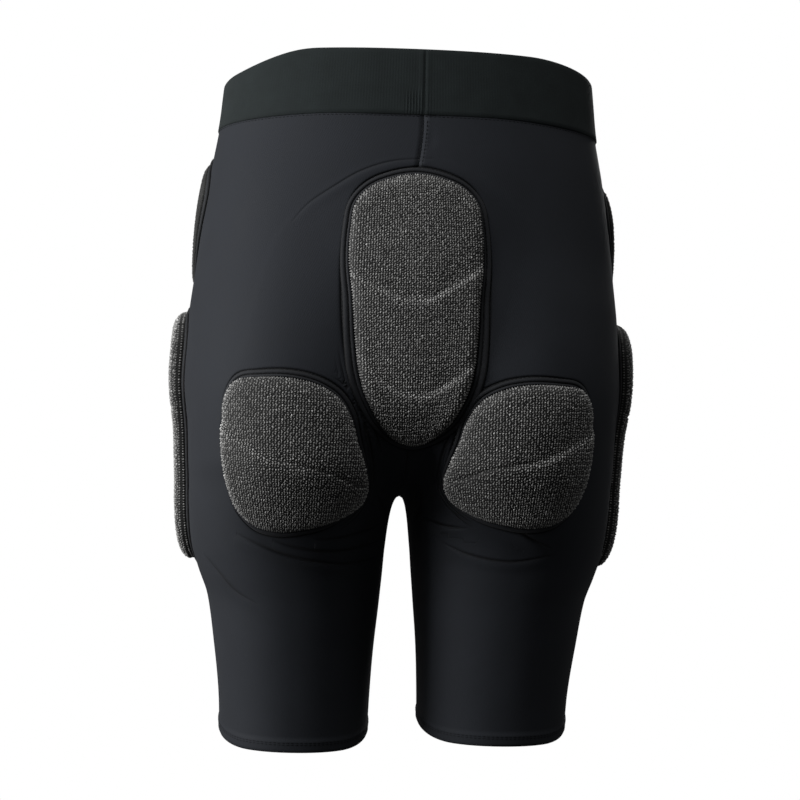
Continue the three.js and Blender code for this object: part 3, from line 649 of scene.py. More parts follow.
def fold_shape(points, folds, way):
    """The folds' low ridges, how far aside the nearest fold's line is in millimetres, and the strength of
    that line's groove and painted shade.
    """
    relief, nearest, strength = np.zeros(len(points)), np.full(len(points), NO_FOLD), np.zeros(len(points))
    for places, height, half_width in folds:
        line = line_on_body(places, way)
        away, at, share = nearest_on_line(points, line)
        along, gap = np.gradient(line, axis=0)[at], points - line[at]
        aside = (along[:, 0] * gap[:, 2] - along[:, 2] * gap[:, 0]) / np.hypot(along[:, 0], along[:, 2])
        fade = np.sin(np.pi * share)**FOLD_TAPER * smooth_step(4 * half_width, 2 * half_width, away)
        relief += height * fade * np.exp(-((aside + half_width * FOLD_ASIDE) / half_width)**2)
        closest = (away < np.abs(nearest) / MILLIMETRES) & (fade > 0)
        nearest = np.where(closest, aside * MILLIMETRES, nearest)
        strength = np.where(closest, fade * min(height / DEEP_FOLD, 1), strength)
    return relief, nearest, strength


def carrier_relief(points):
    """A step up to the carrier's side of its edge, with a thin ridge along the edge itself."""
    edge = line_on_body(CARRIER_EDGE, -1, FINE_LINE_POINTS)
    away, at, share = nearest_on_line(points, edge)
    edge_reach, reach = (np.hypot(places[:, 0], places[:, 2] - CARRIER_MIDDLE)
                         for places in (edge[at], points))
    half_step = CARRIER_STEP_WIDTH / 2
    step = CARRIER_STEP * smooth_step(-half_step, half_step, away * np.sign(edge_reach - reach))
    ridge = CARRIER_RIDGE * np.exp(-(away / CARRIER_RIDGE_WIDTH)**2)
    fade = smooth_step(0, 0.08, share) * smooth_step(1, 0.92, share)
    return (step * smooth_step(*CARRIER_STEP_REACH, away) + ridge) * fade * (points[:, 1] < 0)


def seam_shift(points):
    """How far the back's seam has moved aside from x = 0, to meet the waistband's own seam at the top."""
    return SEAM_SHIFT * smooth_step(*SEAM_SHIFT_LEVELS, points[:, 2]) * (points[:, 1] < 0)


def seam_relief(points):
    """A flat seam at the middle: two low welts with a sharp groove between them."""
    away = np.abs(points[:, 0] - seam_shift(points))
    welt = SEAM_WELT * np.exp(-((away - SEAM_WELT_PLACE) / SEAM_WELT_WIDTH)**2)
    groove = SEAM_GROOVE * np.exp(-(away / SEAM_GROOVE_WIDTH)**2)
    return (welt - groove) * (points[:, 2] > CROTCH_HEIGHT)


def slow_waves(points):
    """Shallow waves of a few centimetres, as stretched cloth has over a body."""
    x, y, z = points.T
    waves = np.sin(41 * x + 23 * z + 2.1 * np.sin(17 * z)) + np.sin(29 * y - 37 * z + 1.3 * np.sin(31 * x))
    return WAVE_HEIGHT * waves


def layer_share(points):
    """Where the cloth lies in stretched layers: near an upright oval on the back, between the pads."""
    oval = np.hypot(points[:, 0], (points[:, 2] - LAYER_OVAL_HEIGHT) / LAYER_OVAL_STRETCH)
    return smooth_step(*LAYER_REACH, np.abs(oval - LAYER_OVAL_RADIUS)) * (points[:, 1] < 0)


right_trunk, right_leg = trunk_rows(), leg_rows()
trunk_index, leg_index = point_numbers(right_trunk), point_numbers(right_leg)
leg_index += trunk_index.size
joint_index = np.concatenate([trunk_index, leg_index[:1, :OUTER_COLUMNS + 1]])
panel_quads = np.concatenate([grid_quads(joint_index), grid_quads(leg_index, closed=True)])
panel_points = np.concatenate([right_trunk.reshape(-1, 3), right_leg.reshape(-1, 3)])
panel_normals = point_normals(panel_points, panel_quads)
in_fold = np.zeros(len(panel_points), bool)
in_fold[leg_index[-FOLD_ROWS:]] = True
at_hem = np.zeros(len(panel_points), bool)
at_hem[leg_index[-1]] = True


class Strand:
    """A value that varies over a surface. Sums and products of strands add Math nodes."""

    def __init__(self, finish, socket):
        self.finish, self.socket = finish, socket

    def maths(self, operation, first, second):
        return self.finish.node("ShaderNodeMath", {"operation": operation}, {0: first, 1: second})

    def __add__(self, other):
        return self.maths("ADD", self, other)

    def __sub__(self, other):
        return self.maths("SUBTRACT", self, other)

    def __rsub__(self, other):
        return self.maths("SUBTRACT", other, self)

    def __mul__(self, other):
        return self.maths("MULTIPLY", self, other)

    def __pow__(self, other):
        return self.maths("POWER", self, other)

    __radd__ = __add__
    __rmul__ = __mul__


class Finish:
    """A material while it is laid out, with its shader's sockets and a way to add any node."""

    def __init__(self, name, **fixed):
        self.material = bpy.data.materials.new(name)
        self.material.use_nodes = True
        self.shader = self.material.node_tree.nodes["Principled BSDF"]
        for socket, value in fixed.items():
            self.set(socket.replace("_", " "), value)

    def node(self, kind, settings, values, output=0):
        made = self.material.node_tree.nodes.new(kind)
        for setting, value in settings.items():
            if setting == "stops":
                self.set_stops(made.color_ramp, value)
            else:
                setattr(made, setting, value)
        for socket, value in values.items():
            self.feed(made.inputs[socket], value)
        return Strand(self, made.outputs[output])

    def set_stops(self, ramp, stops):
        while len(ramp.elements) < len(stops):
            ramp.elements.new(0.5)
        for element, (position, colour) in zip(ramp.elements, stops):
            element.position = position
            element.color = colour

    def feed(self, socket, value):
        if isinstance(value, Strand):
            self.material.node_tree.links.new(value.socket, socket)
        else:
            socket.default_value = value

    def set(self, socket, value):
        self.feed(self.shader.inputs[socket], value)

    def attribute(self, name):
        return self.node("ShaderNodeAttribute", {"attribute_name": name}, {}, output=2)

    def line(self, away, half_width):
        """A line where the distance away is 0: 1 / (1 + (distance / half width)^2)^2."""
        near = away * (1 / half_width)
        return (1 + near * near) ** -2.0

    def noise(self, place, scale, detail=3):
        values = {"Vector": place, "Scale": scale, "Detail": detail, "Roughness": 0.55}
        return self.node("ShaderNodeTexNoise", {}, values)

    def waves(self, place, direction, scale, **values):
        values = {"Vector": place, "Scale": scale, **values}
        return self.node("ShaderNodeTexWave", {"bands_direction": direction}, values)

    def blend(self, share, first, second):
        settings = {"data_type": "RGBA"}
        return self.node("ShaderNodeMix", settings, {0: share, 6: first, 7: second}, output=2)

    def bump(self, height, distance, strength):
        values = {"Height": height, "Distance": distance, "Strength": strength}
        self.set("Normal", self.node("ShaderNodeBump", {}, values))


CLOTH_DARK, CLOTH_PALE = (0.004, 0.0043, 0.005, 1), (0.0292, 0.0334, 0.0424, 1)
THREAD_DARK, THREAD_PALE = (0.003, 0.0033, 0.0038, 1), (0.011, 0.012, 0.014, 1)
# Half widths and places of the dark lines in millimetres, each a bump groove with painted shade darkening the
# colour along it. The borders' line, a painted contact shadow, lies outside their outline.
BORDER_LINE, FOLD_LINE = 1.0, 1.3
LAYER_LINES = (3.6, 6.8)
BORDER_LINE_AWAY = 0.0072
GROIN_LINE_SHARE = 0.3


def stretch_cloth():
    """Matt warp-knit cloth: fine upright wales, slight mottling, and sharp dark lines in its folds, of bump
    and painted shade.

    The lines lie beside each border, along each fold and between stretched layers: grooves in the bump with
    painted shade darkening the colour.
    """
    cloth = Finish("stretch_cloth", Sheen_Weight=0.04, Sheen_Roughness=0.5, Specular_IOR_Level=0.16)
    place = cloth.node("ShaderNodeAttribute", {"attribute_name": "along_cloth"}, {}, output=1)
    wales = cloth.waves(place, "X", 180.0, Distortion=1.2, Detail=1.0)
    stretched = cloth.node("ShaderNodeMapping", {}, {"Vector": place, "Scale": (900, 260, 1)})
    grain = cloth.noise(stretched, 1.0, detail=2)
    mottle = cloth.noise(place, 34.0, detail=4)
    border_away = cloth.attribute("border_away")
    lines = 1.1 * cloth.line(border_away, BORDER_LINE)
    for fold in ("fold", "next_fold"):
        line = cloth.line(cloth.attribute(fold + "_away"), FOLD_LINE)
        lines = lines + cloth.attribute(fold + "_share") * line
    near_layer, far_layer = (cloth.line(border_away - away, BORDER_LINE) for away in LAYER_LINES)
    lines = lines + cloth.attribute("layer_share") * (near_layer + far_layer)
    # Painted shade: the colour darkens by up to 90% along the fold, border and layer lines.
    shade = (0.82 + 0.36 * mottle + 0.16 * (grain - 0.5)) * (1 - 0.9 * lines)
    cloth.set("Base Color", cloth.blend(shade * 0.5, CLOTH_DARK, CLOTH_PALE))
    cloth.set("Roughness", 0.66 + 0.14 * mottle)
    cloth.bump(wales * 0.35 + grain * 0.65 - 20 * lines, 0.00012, 0.6)
    return cloth.material


# A bead's points as shares of its length, width and height, and its faces.
BEAD_POINTS = ((-0.5, 0, 0), (-0.25, -0.5, 0), (-0.25, 0, 1), (-0.25, 0.5, 0),
               (0.25, -0.5, 0), (0.25, 0, 1), (0.25, 0.5, 0), (0.5, 0, 0))
BEAD_FACES = ((0, 1, 2), (0, 2, 3), (1, 4, 5), (1, 5, 2), (3, 2, 5), (3, 5, 6), (7, 5, 4), (7, 6, 5))


def beads(centres, along, out, length, width, height):
    """Low rounded beads: a crest and two flanks at a quarter and three quarters, and a point at each end."""
    across = np.cross(out, along)
    points = [centres + along * (s * length) + across * (c * width) + out * (h * height - 0.1 * height)
              for s, c, h in BEAD_POINTS]
    starts = np.arange(len(centres))[:, None, None] * len(BEAD_POINTS)
    return np.stack(points, axis=1).reshape(-1, 3), (np.array(BEAD_FACES) + starts).reshape(-1, 3)


def square_to(vectors, along):
    """Vectors made square to unit vectors along, v - a (v . a), and one long."""
    return unit(vectors - along * (vectors * along).sum(axis=1, keepdims=True))


# The spacing, length, width and height of the stitches in each kind of row.
HEM_STITCH = (0.0034, 0.0029, 0.0005, 0.0003)
SEAM_STITCH = (0.0030, 0.0025, 0.0005, 0.0003)
WAIST_STITCH = (0.0032, 0.0027, 0.0005, 0.0003)
STITCHES_FROM_SEAM = 0.0022
HEM_STITCH_ROWS = (-6, -5)


def stitch_row(path, normals, spacing, length, width, height, closed=True):
    """Stitches laid end to end along a path of points, each a bead that follows its direction."""
    if closed:
        path, normals = np.concatenate([path, path[:1]]), np.concatenate([normals, normals[:1]])
    travelled = distance_travelled(path)
    count = int(travelled[-1] / spacing)
    wanted = (np.arange(count) + 0.5) * travelled[-1] / count
    before, here, after = (points_at(path, travelled, wanted + shift)
                           for shift in (-length / 3, 0, length / 3))
    along = unit(after - before)
    return beads(here, along, square_to(points_at(normals, travelled, wanted), along), length, width, height)


def join_beads(rows):
    """Several rows of beads as one array of points and one of faces."""
    starts = np.cumsum([0] + [len(points) for points, _ in rows[:-1]])
    return (np.concatenate([points for points, _ in rows]),
            np.concatenate([faces + start for (_, faces), start in zip(rows, starts)]))


cloth_finish = stretch_cloth()
thread = Finish("sewing_thread", Roughness=0.7, Specular_IOR_Level=0.08)
thread_place = thread.node("ShaderNodeTexCoord", {}, {}, output=3)
thread.set("Base Color", thread.blend(thread.noise(thread_place, 900.0), THREAD_DARK, THREAD_PALE))
around = np.concatenate([distance_travelled(right_trunk).ravel(), distance_travelled(right_leg).ravel()])
along_cloth = np.stack([around, panel_points[:, 2], 0 * around], axis=1)

for side, word in ((-1, "left"), (1, "right")):
    base = panel_points * (side, 1, 1)
    base[:, 2] += HEM_SHIFTS[word] * smooth_step(HEM_HEIGHT + HEM_SHIFT_REACH, HEM_HEIGHT, base[:, 2])
    normals = panel_normals * (side, 1, 1)
    beyond = np.min([layout.beyond(base) for layout in pad_layouts.values()], axis=0)
    groin = tuple((tuple((side * x, z) for x, z in places), *size) for places, *size in GROIN_FOLDS)
    on_back = [fold_shape(base, folds, -1) for folds in CLOTH_FOLDS]
    in_groin = fold_shape(base, groin, 1)
    relief = on_back[0][0] + on_back[1][0] + in_groin[0] + carrier_relief(base) + slow_waves(base)
    in_front = base[:, 1] > 0
    # The marks place the cloth's dark lines, grooves with painted shade, by distance and strength.
    marks = {"border_away": (beyond - BORDER_LINE_AWAY) * MILLIMETRES, "layer_share": layer_share(base),
             "fold_away": np.where(in_front, in_groin[1], on_back[0][1]),
             "fold_share": np.where(in_front, GROIN_LINE_SHARE * in_groin[2], on_back[0][2]),
             "next_fold_away": on_back[1][1], "next_fold_share": on_back[1][2], "along_cloth": along_cloth}
    relief = relief * smooth_step(*BORDER_REACH, beyond) + seam_relief(base)
    relief = relief + HEM_FOLD_PROUD * in_fold - HEM_EDGE_SINK * at_hem
    lining = CLOTH_THICKNESS + HEM_FOLD_THICKNESS * in_fold - HEM_FOLD_THICKNESS * at_hem
    outer, inner = base + normals * relief[:, None], base - normals * lining[:, None]
    for skin in (outer, inner):
        skin[:, 0] = side * np.maximum(side * skin[:, 0], 0)
        skin[:, 0] += seam_shift(skin) * np.exp(-(skin[:, 0] / SEAM_SHIFT_REACH)**2)
    points, quads = two_sided(outer, inner, panel_quads)
    quads = quads if side > 0 else quads[:, ::-1]
    marks = {mark: np.concatenate([values, values]) for mark, values in marks.items()}
    panel = make_piece(f"{word}_leg_cloth", points, [quads], cloth_finish, marks)
    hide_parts(f"{word}_leg_panel")

    rows = [stitch_row(outer[leg_index[row]], normals[leg_index[row]], *HEM_STITCH)
            for row in HEM_STITCH_ROWS]
    for column in (trunk_index[2:, 0], trunk_index[2:, -1]):
        beside_seam = outer[column] + [side * STITCHES_FROM_SEAM, 0, 0]
        rows.append(stitch_row(beside_seam, normals[column], *SEAM_STITCH, closed=False))
    rows.append(stitch_row(outer[trunk_index[1]], normals[trunk_index[1]], *WAIST_STITCH, closed=False))
    points, faces = join_beads(rows)
    stitches = make_piece(f"{word}_leg_stitches", points, [faces], thread.material)


# Waistband
# A knitted elastic band, 50 mm high and 2.4 mm thick, closed by an upright seam behind the middle of the
# back. Rubber threads inside it draw the knit into fine upright ribs, and it is sewn on to both panels.
WAISTBAND_THICKNESS = 0.0024
WAISTBAND_PROUD = 0.0009
RIM_DIP, RIM_DIP_TURNS = 0.014, (np.pi / 4, np.pi * 5 / 9)
LEFT_CORNER_DIP, LEFT_CORNER_START, LEFT_CORNER_END = 0.008, (0.7, 1.25), (3.1, 1.9)
RIB_PITCH, RIB_HEIGHT = 0.0021, 0.00004
# The knit gathers at the foot of the upright seam, most on its left. Starts and ends are metres beside the
# seam, and the top is a share of the band's height.
GATHER_PITCH, GATHER_HEIGHT, GATHER_ON_RIGHT = 0.0022, 0.00028, 0.45
GATHER_START, GATHER_END, GATHER_TOP = (-0.017, -0.013), (0.009, 0.001), (0.42, 0.22)
# The seam is a groove between two welts, and a hollow runs round just above the lower edge.
GROOVE, GROOVE_WIDTH = 0.0008, 0.0008
WELT, WELT_PLACE, WELT_WIDTH = 0.0002, 0.0026, 0.0018
HOLLOW, HOLLOW_PLACE, HOLLOW_WIDTH = 0.0003, 0.035, 0.02
BAND_COLUMNS, BAND_ROWS = 1600, 16
FACE_ROW = 8
BAND_DARK, BAND_PALE = (0.0078, 0.0104, 0.0107, 1), (0.0232, 0.0305, 0.0312, 1)


def rim_level(turn, side):
    """The waistband's upper edge: highest at the back, lower from the sides on, and lowest on the left."""
    corner = LEFT_CORNER_DIP * smooth_step(*LEFT_CORNER_START, turn) * smooth_step(*LEFT_CORNER_END, turn)
    return RIM_HEIGHT - RIM_DIP * smooth_step(*RIM_DIP_TURNS, turn) - corner * (side < 0)


def waistband_skin():
    """Columns go round the waist. Rows go up the face, over the rolled rim and down the inside."""
    turns = np.linspace(-np.pi / 2, np.pi * 3 / 2, BAND_COLUMNS, endpoint=False)
    face = np.linspace(0, 1, BAND_ROWS)
    up = np.concatenate([[0.0, 0.0], 0.012 + 0.966 * face, [0.996, 1.0, 0.996], (0.978 - 0.97 * face)[::4]])
    depth = np.concatenate([[0.9, 0.35], 0 * face, [0.16, 0.5, 0.84], np.ones(len(face[::4]))])
    turn = turn_from_back(np.cos(turns), np.sin(turns))
    z = mix(seam_level(turn), rim_level(turn, np.cos(turns)), up[:, None])
    skin = level_points(0, 0, turns, z)
    on_face = (smooth_step(0.4, 0.0, depth) * smooth_step(0, 0.06, up) * smooth_step(1, 0.94, up))[:, None]
    travelled = distance_travelled(np.concatenate([skin[FACE_ROW], skin[FACE_ROW, :1]]))[1:]
    ribs = np.cos(2 * np.pi * np.round(travelled[-1] / RIB_PITCH) * travelled / travelled[-1])
    beside_seam = skin[..., 0] - SEAM_SHIFT + (skin[..., 1] > 0)
    away = np.abs(beside_seam)
    groove = GROOVE * np.exp(-(away / GROOVE_WIDTH)**2)
    groove = groove - WELT * np.exp(-((away - WELT_PLACE) / WELT_WIDTH)**2)
    gathered = smooth_step(*GATHER_START, beside_seam) * smooth_step(*GATHER_END, beside_seam)
    gathered = gathered * smooth_step(*GATHER_TOP, up)[:, None]
    gathered = gathered * np.where(beside_seam < 0, 1, GATHER_ON_RIGHT)
    gathers = GATHER_HEIGHT * gathered * np.cos(2 * np.pi * beside_seam / GATHER_PITCH)
    hollow = HOLLOW * np.exp(-((up - HOLLOW_PLACE) / HOLLOW_WIDTH)**2)[:, None]
    lift = WAISTBAND_PROUD - WAISTBAND_THICKNESS * depth[:, None]
    lift = lift + on_face * (RIB_HEIGHT * ribs + gathers - groove - hollow)
    around = np.broadcast_to(travelled, z.shape)
    return skin + body_normal(skin) * lift[..., None], np.stack([around, z, 0 * z], axis=-1)


def ribbed_elastic():
    """Greenish black knit with painted shade in the hollows between the ribs and in the fine lines of its
    rows.
    """
    elastic = Finish("waistband_elastic", Sheen_Weight=0.04, Sheen_Roughness=0.5, Specular_IOR_Level=0.15)
    place = elastic.node("ShaderNodeAttribute", {"attribute_name": "along_band"}, {}, output=1)
    ribs = elastic.waves(place, "X", 150.0, Distortion=0.6, Detail=1.0)
    courses = elastic.waves(place, "Y", 260.0)
    mottle = elastic.noise(place, 60.0, detail=4)
    # The rib and row waves darken the colour where the bump is low: painted shade in the hollows.
    shade = 0.05 * ribs + 0.06 * courses + 0.60 * mottle
    elastic.set("Base Color", elastic.blend(shade, BAND_DARK, BAND_PALE))
    elastic.set("Roughness", 0.80 + 0.12 * mottle)
    elastic.bump(ribs * 0.5 + courses * 0.5, 0.00006, 0.5)
    return elastic.material


band_points, along_band = waistband_skin()
band_index = point_numbers(band_points)
band_quads = grid_quads(np.concatenate([band_index, band_index[:1]]), closed=True)
waistband = make_piece("ribbed_waistband", band_points.reshape(-1, 3), [band_quads], ribbed_elastic(),
                       {"along_band": along_band.reshape(-1, 3)})
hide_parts("waistband")


# Pads
# Each pad is a block of moulded foam with an upright wall, a round shoulder and a crowned face, under a
# coarse knit of grey and black yarn, or of black yarn alone on the hip pads. It is sewn in by its border.
PAD_ROOT = 0.0012
SHOULDER_RADIUS = 0.009
PAD_CROWN = 0.0012
CREASE_DEPTH = 0.0023
CREASE_DIP_LENGTH = 0.013
CREASE_STEP_HEIGHT = 0.0048
GROOVE_DEPTH = 0.0011
GROOVE_HALF_WIDTH = 0.0013
STEP_BEFORE, STEP_AFTER = 0.2, 0.1
PAD_COLUMNS = 240
PROBE_STEP = 0.0004
WALE_PITCH, COURSE_PITCH = 0.00185, 0.0031
KNIT_EDGE = 0.0006
# Each row of loops on the wall: its depth inside the outline, and its share of the pad's thickness, or
# None for the height of the face there.
WALL_ROWS = ((0, 0.36), (0.0003, None))
WALL_PROBE_STEP = 0.001
RIM_TO_HALF_SIZES = 3.1
# Length, width and height of a loop and of the link below it, and how they lean from upright.
LOOP_SIZE, LINK_SIZE = (0.0018, 0.00114, 0.00095), (0.0013, 0.00106, 0.00080)
LOOP_LEAN = np.radians(16)
LINK_LEAN = -2.2 * LOOP_LEAN
LINK_ASIDE, PALE_RAISE = 0.0003, 0.0002
SIZE_SPREAD, LEAN_SPREAD, SHADE_SPREAD, WALL_SHADE_SPREAD = 0.08, 0.14, 0.09, 0.12
ROW_SPREAD, ACROSS_SPREAD, UP_SPREAD = 0.00025, 0.00008, 0.00012
LOOP_SHADE, LINK_SHADE, WALL_SHADE, FOAM_SHADE = 0.55, 0.50, 0.45, 0.03
# The paler loop and link of each pair, and a painted highlight added to the yarn along each crease's step.
PALE_LOOP, PALE_LINK, CREASE_PAINTED_HIGHLIGHT = 0.06, -0.05, 0.22
FLECK_SHARE, FLECK_PALE = 0.06, 0.22
BLACK_YARN = 0.12
YARN_STOPS = (
    (0.0, (0.010, 0.010, 0.010, 1)), (0.25, (0.095, 0.095, 0.093, 1)), (0.5, (0.265, 0.263, 0.258, 1)),
    (0.7, (0.43, 0.43, 0.42, 1)), (1.0, (0.75, 0.75, 0.74, 1)),
)
FIBRE_COLOUR = (0.06, 0.06, 0.06, 1)


def crease_distances(layout, across, up):
    """For each crease, the distance above its line and the share of it that is a step, not a groove."""
    flat = np.stack([across, up], axis=-1).reshape(-1, 2)
    found = []
    for places, step_from in layout.kind["creases"]:
        line = curve_through(layout.fit(places), False, FINE_LINE_POINTS)
        away, at, share = nearest_on_line(flat, line)
        side = np.sign(flat[:, 1] - line[at, 1])
        turn = (step_from - STEP_BEFORE, step_from + STEP_AFTER)
        stepped = smooth_step(*turn, share) if step_from else np.ones(len(flat))
        found.append(((away * side).reshape(across.shape), stepped.reshape(across.shape)))
    return found


def crease_relief(layout, across, up):
    """Minus the dip above each crease, e^(-distance / length), which a step ends, or minus its groove."""
    relief = np.zeros(across.shape)
    for above, stepped in crease_distances(layout, across, up):
        dip = np.exp(-np.maximum(above, 0) / CREASE_DIP_LENGTH) * smooth_step(-CREASE_STEP_HEIGHT, 0, above)
        groove = np.exp(-(above / GROOVE_HALF_WIDTH)**2)
        relief = relief - CREASE_DEPTH * stepped * dip - GROOVE_DEPTH * (1 - stepped) * groove
    return relief


def crease_painted_highlight(layout, across, up):
    """How much painted highlight lies on the knit along the step of a crease, whose upward face catches the
    light.
    """
    return sum(stepped * np.exp(-((above + CREASE_STEP_HEIGHT / 2) / CREASE_STEP_HEIGHT * 1.6)**2)
               for above, stepped in crease_distances(layout, across, up))


def pad_height(layout, across, up):
    """Height over the cloth: a quarter round from half height at the wall, then a crown, with the creases."""
    thickness = layout.kind["thickness"]
    depth, edge = layout.depth(across, up)
    share = np.clip(depth / SHOULDER_RADIUS, 0, 1)
    shoulder = mix(thickness / 2, thickness, np.sqrt(1 - (1 - share)**2))
    towards = np.clip((depth - SHOULDER_RADIUS) / np.maximum(edge - SHOULDER_RADIUS, TINY), 0, 1)
    return shoulder + PAD_CROWN * (1 - (1 - towards)**2) + crease_relief(layout, across, up)


def pad_skin(layout):
    """Rings of points from the middle of the hidden base, up the wall and over the face to its middle."""
    ring, _ = layout.ring(PAD_COLUMNS)
    base_shares = np.array([0.04, 0.3, 0.6, 0.85, 1.0])
    shoulder = SHOULDER_RADIUS / layout.half.min()
    shares = [base_shares, 1 - shoulder * np.linspace(0, 1, 8)**1.6,
              (1 - shoulder) * np.linspace(0.975, 0.012, 40)]
    flat = mix(layout.centre, ring, np.concatenate(shares)[:, None, None])
    across, up = flat[..., 0], flat[..., 1]
    out = pad_height(layout, across, up)
    out[:len(base_shares)] = -PAD_ROOT
    return layout.place(across, up, out)


def lay_yarn(layout, across, up, lean, size):
    """Beads on the pad's face at places across and up, turned by their lean from upright."""
    places = ((across, up), (across + PROBE_STEP, up), (across, up + PROBE_STEP))
    here, beside, above = (layout.place(*place, pad_height(layout, *place)) for place in places)
    out = unit(np.cross(beside - here, above - here) * layout.mirror)
    along = (beside - here) * np.sin(lean)[:, None] + (above - here) * np.cos(lean)[:, None]
    return beads(here, square_to(along, out), out, *size.T[..., None])


def wall_yarns(layout, rng):
    """Upright loops round the pad's wall and round the rim where the wall turns into the face."""
    ring, outwards = layout.ring(int(layout.half.sum() * RIM_TO_HALF_SIZES / WALE_PITCH))
    rows = []
    for depth, share in WALL_ROWS:
        at = ring - outwards * depth
        height = np.full(len(at), share * layout.kind["thickness"]) if share else pad_height(layout, *at.T)
        here = layout.place(*at.T, height)
        upright = unit(layout.place(*(at - outwards * depth).T, height + WALL_PROBE_STEP) - here)
        outside = square_to(layout.place(*(at + outwards * WALL_PROBE_STEP).T, height) - here, upright)
        size = LOOP_SIZE * rng.normal(1, SIZE_SPREAD, (len(at), 1))
        rows.append(beads(here, upright, outside, *size.T[..., None]))
    points, faces = join_beads(rows)
    return points, faces, WALL_SHADE + rng.normal(0, WALL_SHADE_SPREAD, len(points) // len(BEAD_POINTS))


def knit_yarns(layout, seed):
    """Leaning loops on straight wales and courses, every other one paler, with a smaller link below each."""
    reach = layout.half + WALE_PITCH
    columns = np.arange(-reach[0], reach[0], WALE_PITCH)
    rows = np.arange(-reach[1], reach[1], COURSE_PITCH)
    rng = np.random.default_rng(seed)
    across, up = (places.ravel() for places in np.meshgrid(columns, rows))
    pale = (np.add.outer(np.arange(len(rows)), np.arange(len(columns))) % 2).ravel()
    count = len(up)
    up = up + np.where(pale, PALE_RAISE, -PALE_RAISE) + rng.normal(0, ROW_SPREAD, count)
    fleck = (rng.random(count) < FLECK_SHARE) * FLECK_PALE
    loop_shade = LOOP_SHADE + PALE_LOOP * pale + fleck + rng.normal(0, SHADE_SPREAD, count)
    link_shade = LINK_SHADE + PALE_LINK * pale + rng.normal(0, SHADE_SPREAD, count)
    across = np.concatenate([across, across + LINK_ASIDE]) + rng.normal(0, ACROSS_SPREAD, 2 * count)
    lean = np.repeat([LOOP_LEAN, LINK_LEAN], count)
    lean = (lean + rng.normal(0, LEAN_SPREAD, 2 * count)) * layout.mirror
    size = np.repeat([LOOP_SIZE, LINK_SIZE], count, axis=0) * rng.normal(1, SIZE_SPREAD, (2 * count, 1))
    up = np.concatenate([up, up - COURSE_PITCH / 2]) + rng.normal(0, UP_SPREAD, 2 * count)
    shade = np.concatenate([loop_shade, link_shade])
    # Painted highlight on the yarn along each crease's step.
    shade = shade + CREASE_PAINTED_HIGHLIGHT * crease_painted_highlight(layout, across, up)
    kept = layout.depth(across, up)[0] > KNIT_EDGE
    face_yarns = lay_yarn(layout, across[kept], up[kept], lean[kept], size[kept])
    *wall, wall_shade = wall_yarns(layout, rng)
    shade = np.repeat(np.concatenate([shade[kept], wall_shade]), len(BEAD_POINTS))
    return *join_beads([face_yarns, wall]), shade


def pad_knit():
    """Grey and black yarn: a black ground, and grey loops and links with a few pale flecks."""
    knit = Finish("pad_knit", Sheen_Weight=0.05, Sheen_Roughness=0.5, Specular_IOR_Level=0.15)
    shade = knit.attribute("yarn_shade")
    place = knit.node("ShaderNodeTexCoord", {}, {}, output=3)
    fibre = knit.noise(place, 1400.0, detail=2)
    cloudy = knit.noise(place, 45.0, detail=3)
    flecked = knit.node("ShaderNodeValToRGB", {"stops": YARN_STOPS}, {"Fac": shade + 0.12 * (cloudy - 0.5)})
    knit.set("Base Color", knit.blend(0.4 * fibre, flecked, FIBRE_COLOUR))
    knit.set("Roughness", 0.86)
    knit.bump(fibre, 0.00010, 0.6)
    return knit.material


knit_finish = pad_knit()
for number, (name, layout) in enumerate(pad_layouts.items()):
    skin = pad_skin(layout)
    index = point_numbers(skin)
    following = np.roll(index, -1, axis=1)
    base_middle, face_middle = np.full(PAD_COLUMNS, index.size), np.full(PAD_COLUMNS, index.size + 1)
    caps = np.concatenate([np.stack([base_middle, following[0], index[0]], axis=1),
                           np.stack([face_middle, index[-1], following[-1]], axis=1)])
    foam_faces = [faces[:, ::layout.mirror] for faces in (grid_quads(index, closed=True), caps)]
    foam_points = np.concatenate([skin.reshape(-1, 3), skin[[0, -1]].mean(axis=1)])
    yarn_points, yarn_faces, yarn_shade = knit_yarns(layout, number)
    yarn_shade = yarn_shade * (BLACK_YARN if layout.kind is PAD_KINDS["hip_pad"] else 1)
    pad = make_piece(f"{name}_knit", np.concatenate([foam_points, yarn_points]),
                     [*foam_faces, yarn_faces + len(foam_points)], knit_finish,
                     {"yarn_shade": np.concatenate([np.full(len(foam_points), FOAM_SHADE), yarn_shade])})
    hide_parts(name)


# Borders
# Round each pad's foot runs a binding of matt black cloth, about 6.5 mm wide, folded and pressed into two
# flat welts with a groove between them. Stitches in the groove and along its edge hold it to the cloth.
BORDER_COLUMNS = 360
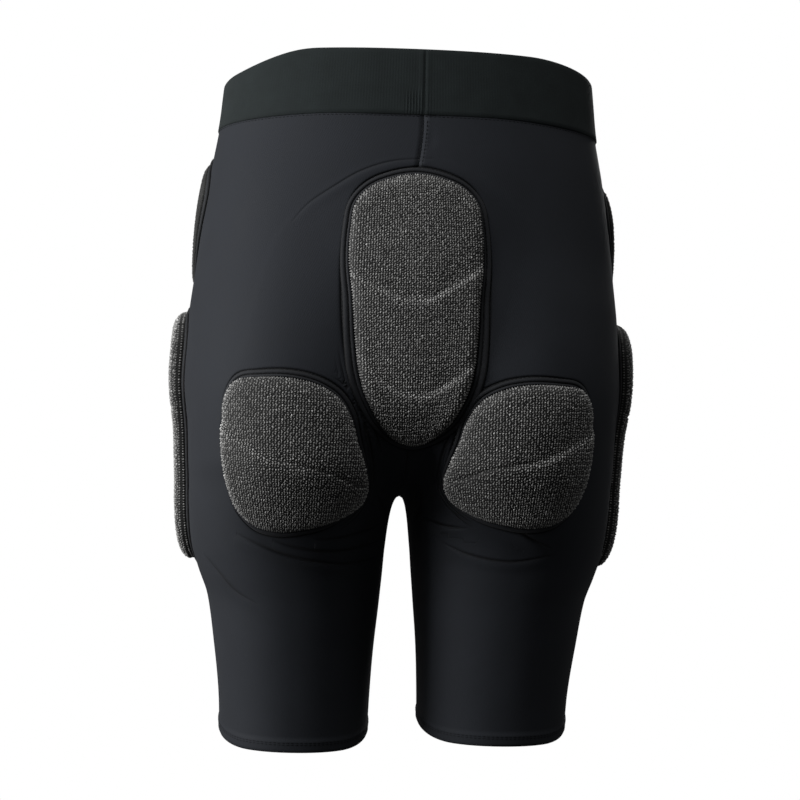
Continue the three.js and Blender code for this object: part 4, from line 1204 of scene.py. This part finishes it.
# The section's corners: outwards from the pad's outline, out from the body, and its painted light: painted
# highlight on the welts' crests, painted shade on the walls and in the groove.
BORDER_SECTION = np.array((
    (0.0006, -0.0012, 0), (0.0006, 0.0009, 0), (0.0008, 0.0018, 0.35), (0.0012, 0.0023, 0.9),
    (0.0018, 0.0024, 1), (0.0025, 0.0022, 0.8), (0.0029, 0.0014, 0.25), (0.0032, 0.0012, 0.1),
    (0.0035, 0.0016, 0.5), (0.0040, 0.0021, 1), (0.0050, 0.0021, 1), (0.0058, 0.0019, 0.8),
    (0.0063, 0.0014, 0.2), (0.0066, 0.0006, 0), (0.0065, -0.0012, 0), (0.0035, -0.0012, 0),
))
BORDER_STITCH_LINES = (7, 13)
BORDER_STITCH = (0.0032, 0.0029, 0.0008, 0.0003)
BORDER_DARK, BORDER_PALE = (0.0015, 0.0016, 0.0019, 1), (0.0215, 0.0232, 0.0275, 1)


def border_skin(layout):
    """The border's section carried round the pad's outline, square to it."""
    ring, outwards = layout.ring(BORDER_COLUMNS)
    flat = ring + outwards * BORDER_SECTION[:, 0, None, None]
    out = np.broadcast_to(BORDER_SECTION[:, 1, None], flat.shape[:2])
    return layout.place(flat[..., 0], flat[..., 1], out)


def border_cloth():
    """Matt black cloth with a fine even grain and random wear, with painted highlight on the welts and
    painted shade in the groove and on the walls.
    """
    binding = Finish("border_cloth", Sheen_Weight=0.06, Sheen_Roughness=0.5, Specular_IOR_Level=0.2)
    place = binding.node("ShaderNodeTexCoord", {}, {}, output=3)
    grain = binding.noise(place, 1100.0, detail=2)
    wear = binding.noise(place, 55.0, detail=4)
    # The attribute read here is painted light: highlight painted on the welts' crests, shade painted in the
    # groove and on the walls.
    shade = binding.attribute("welt_light") * (0.45 + 0.6 * wear + 0.3 * (grain - 0.5))
    binding.set("Base Color", binding.blend(shade, BORDER_DARK, BORDER_PALE))
    binding.set("Roughness", 0.62 + 0.16 * wear)
    binding.bump(grain, 0.00012, 0.7)
    return binding.material


border_finish = border_cloth()
for name, layout in pad_layouts.items():
    skin = border_skin(layout)
    index = point_numbers(skin)
    quads = grid_quads(np.concatenate([index, index[:1]]), closed=True)[:, ::-layout.mirror]
    normals = point_normals(skin.reshape(-1, 3), quads)
    # Each section point's painted highlight or painted shade is carried round the whole ring.
    border = make_piece(f"{name}_binding", skin.reshape(-1, 3), [quads], border_finish,
                        {"welt_light": np.repeat(BORDER_SECTION[:, 2], BORDER_COLUMNS)})
    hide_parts(f"{name}_border")
    rows = [stitch_row(skin[line], normals[index[line]], *BORDER_STITCH) for line in BORDER_STITCH_LINES]
    points, faces = join_beads(rows)
    stitches = make_piece(f"{name}_binding_stitches", points, [faces], thread.material)
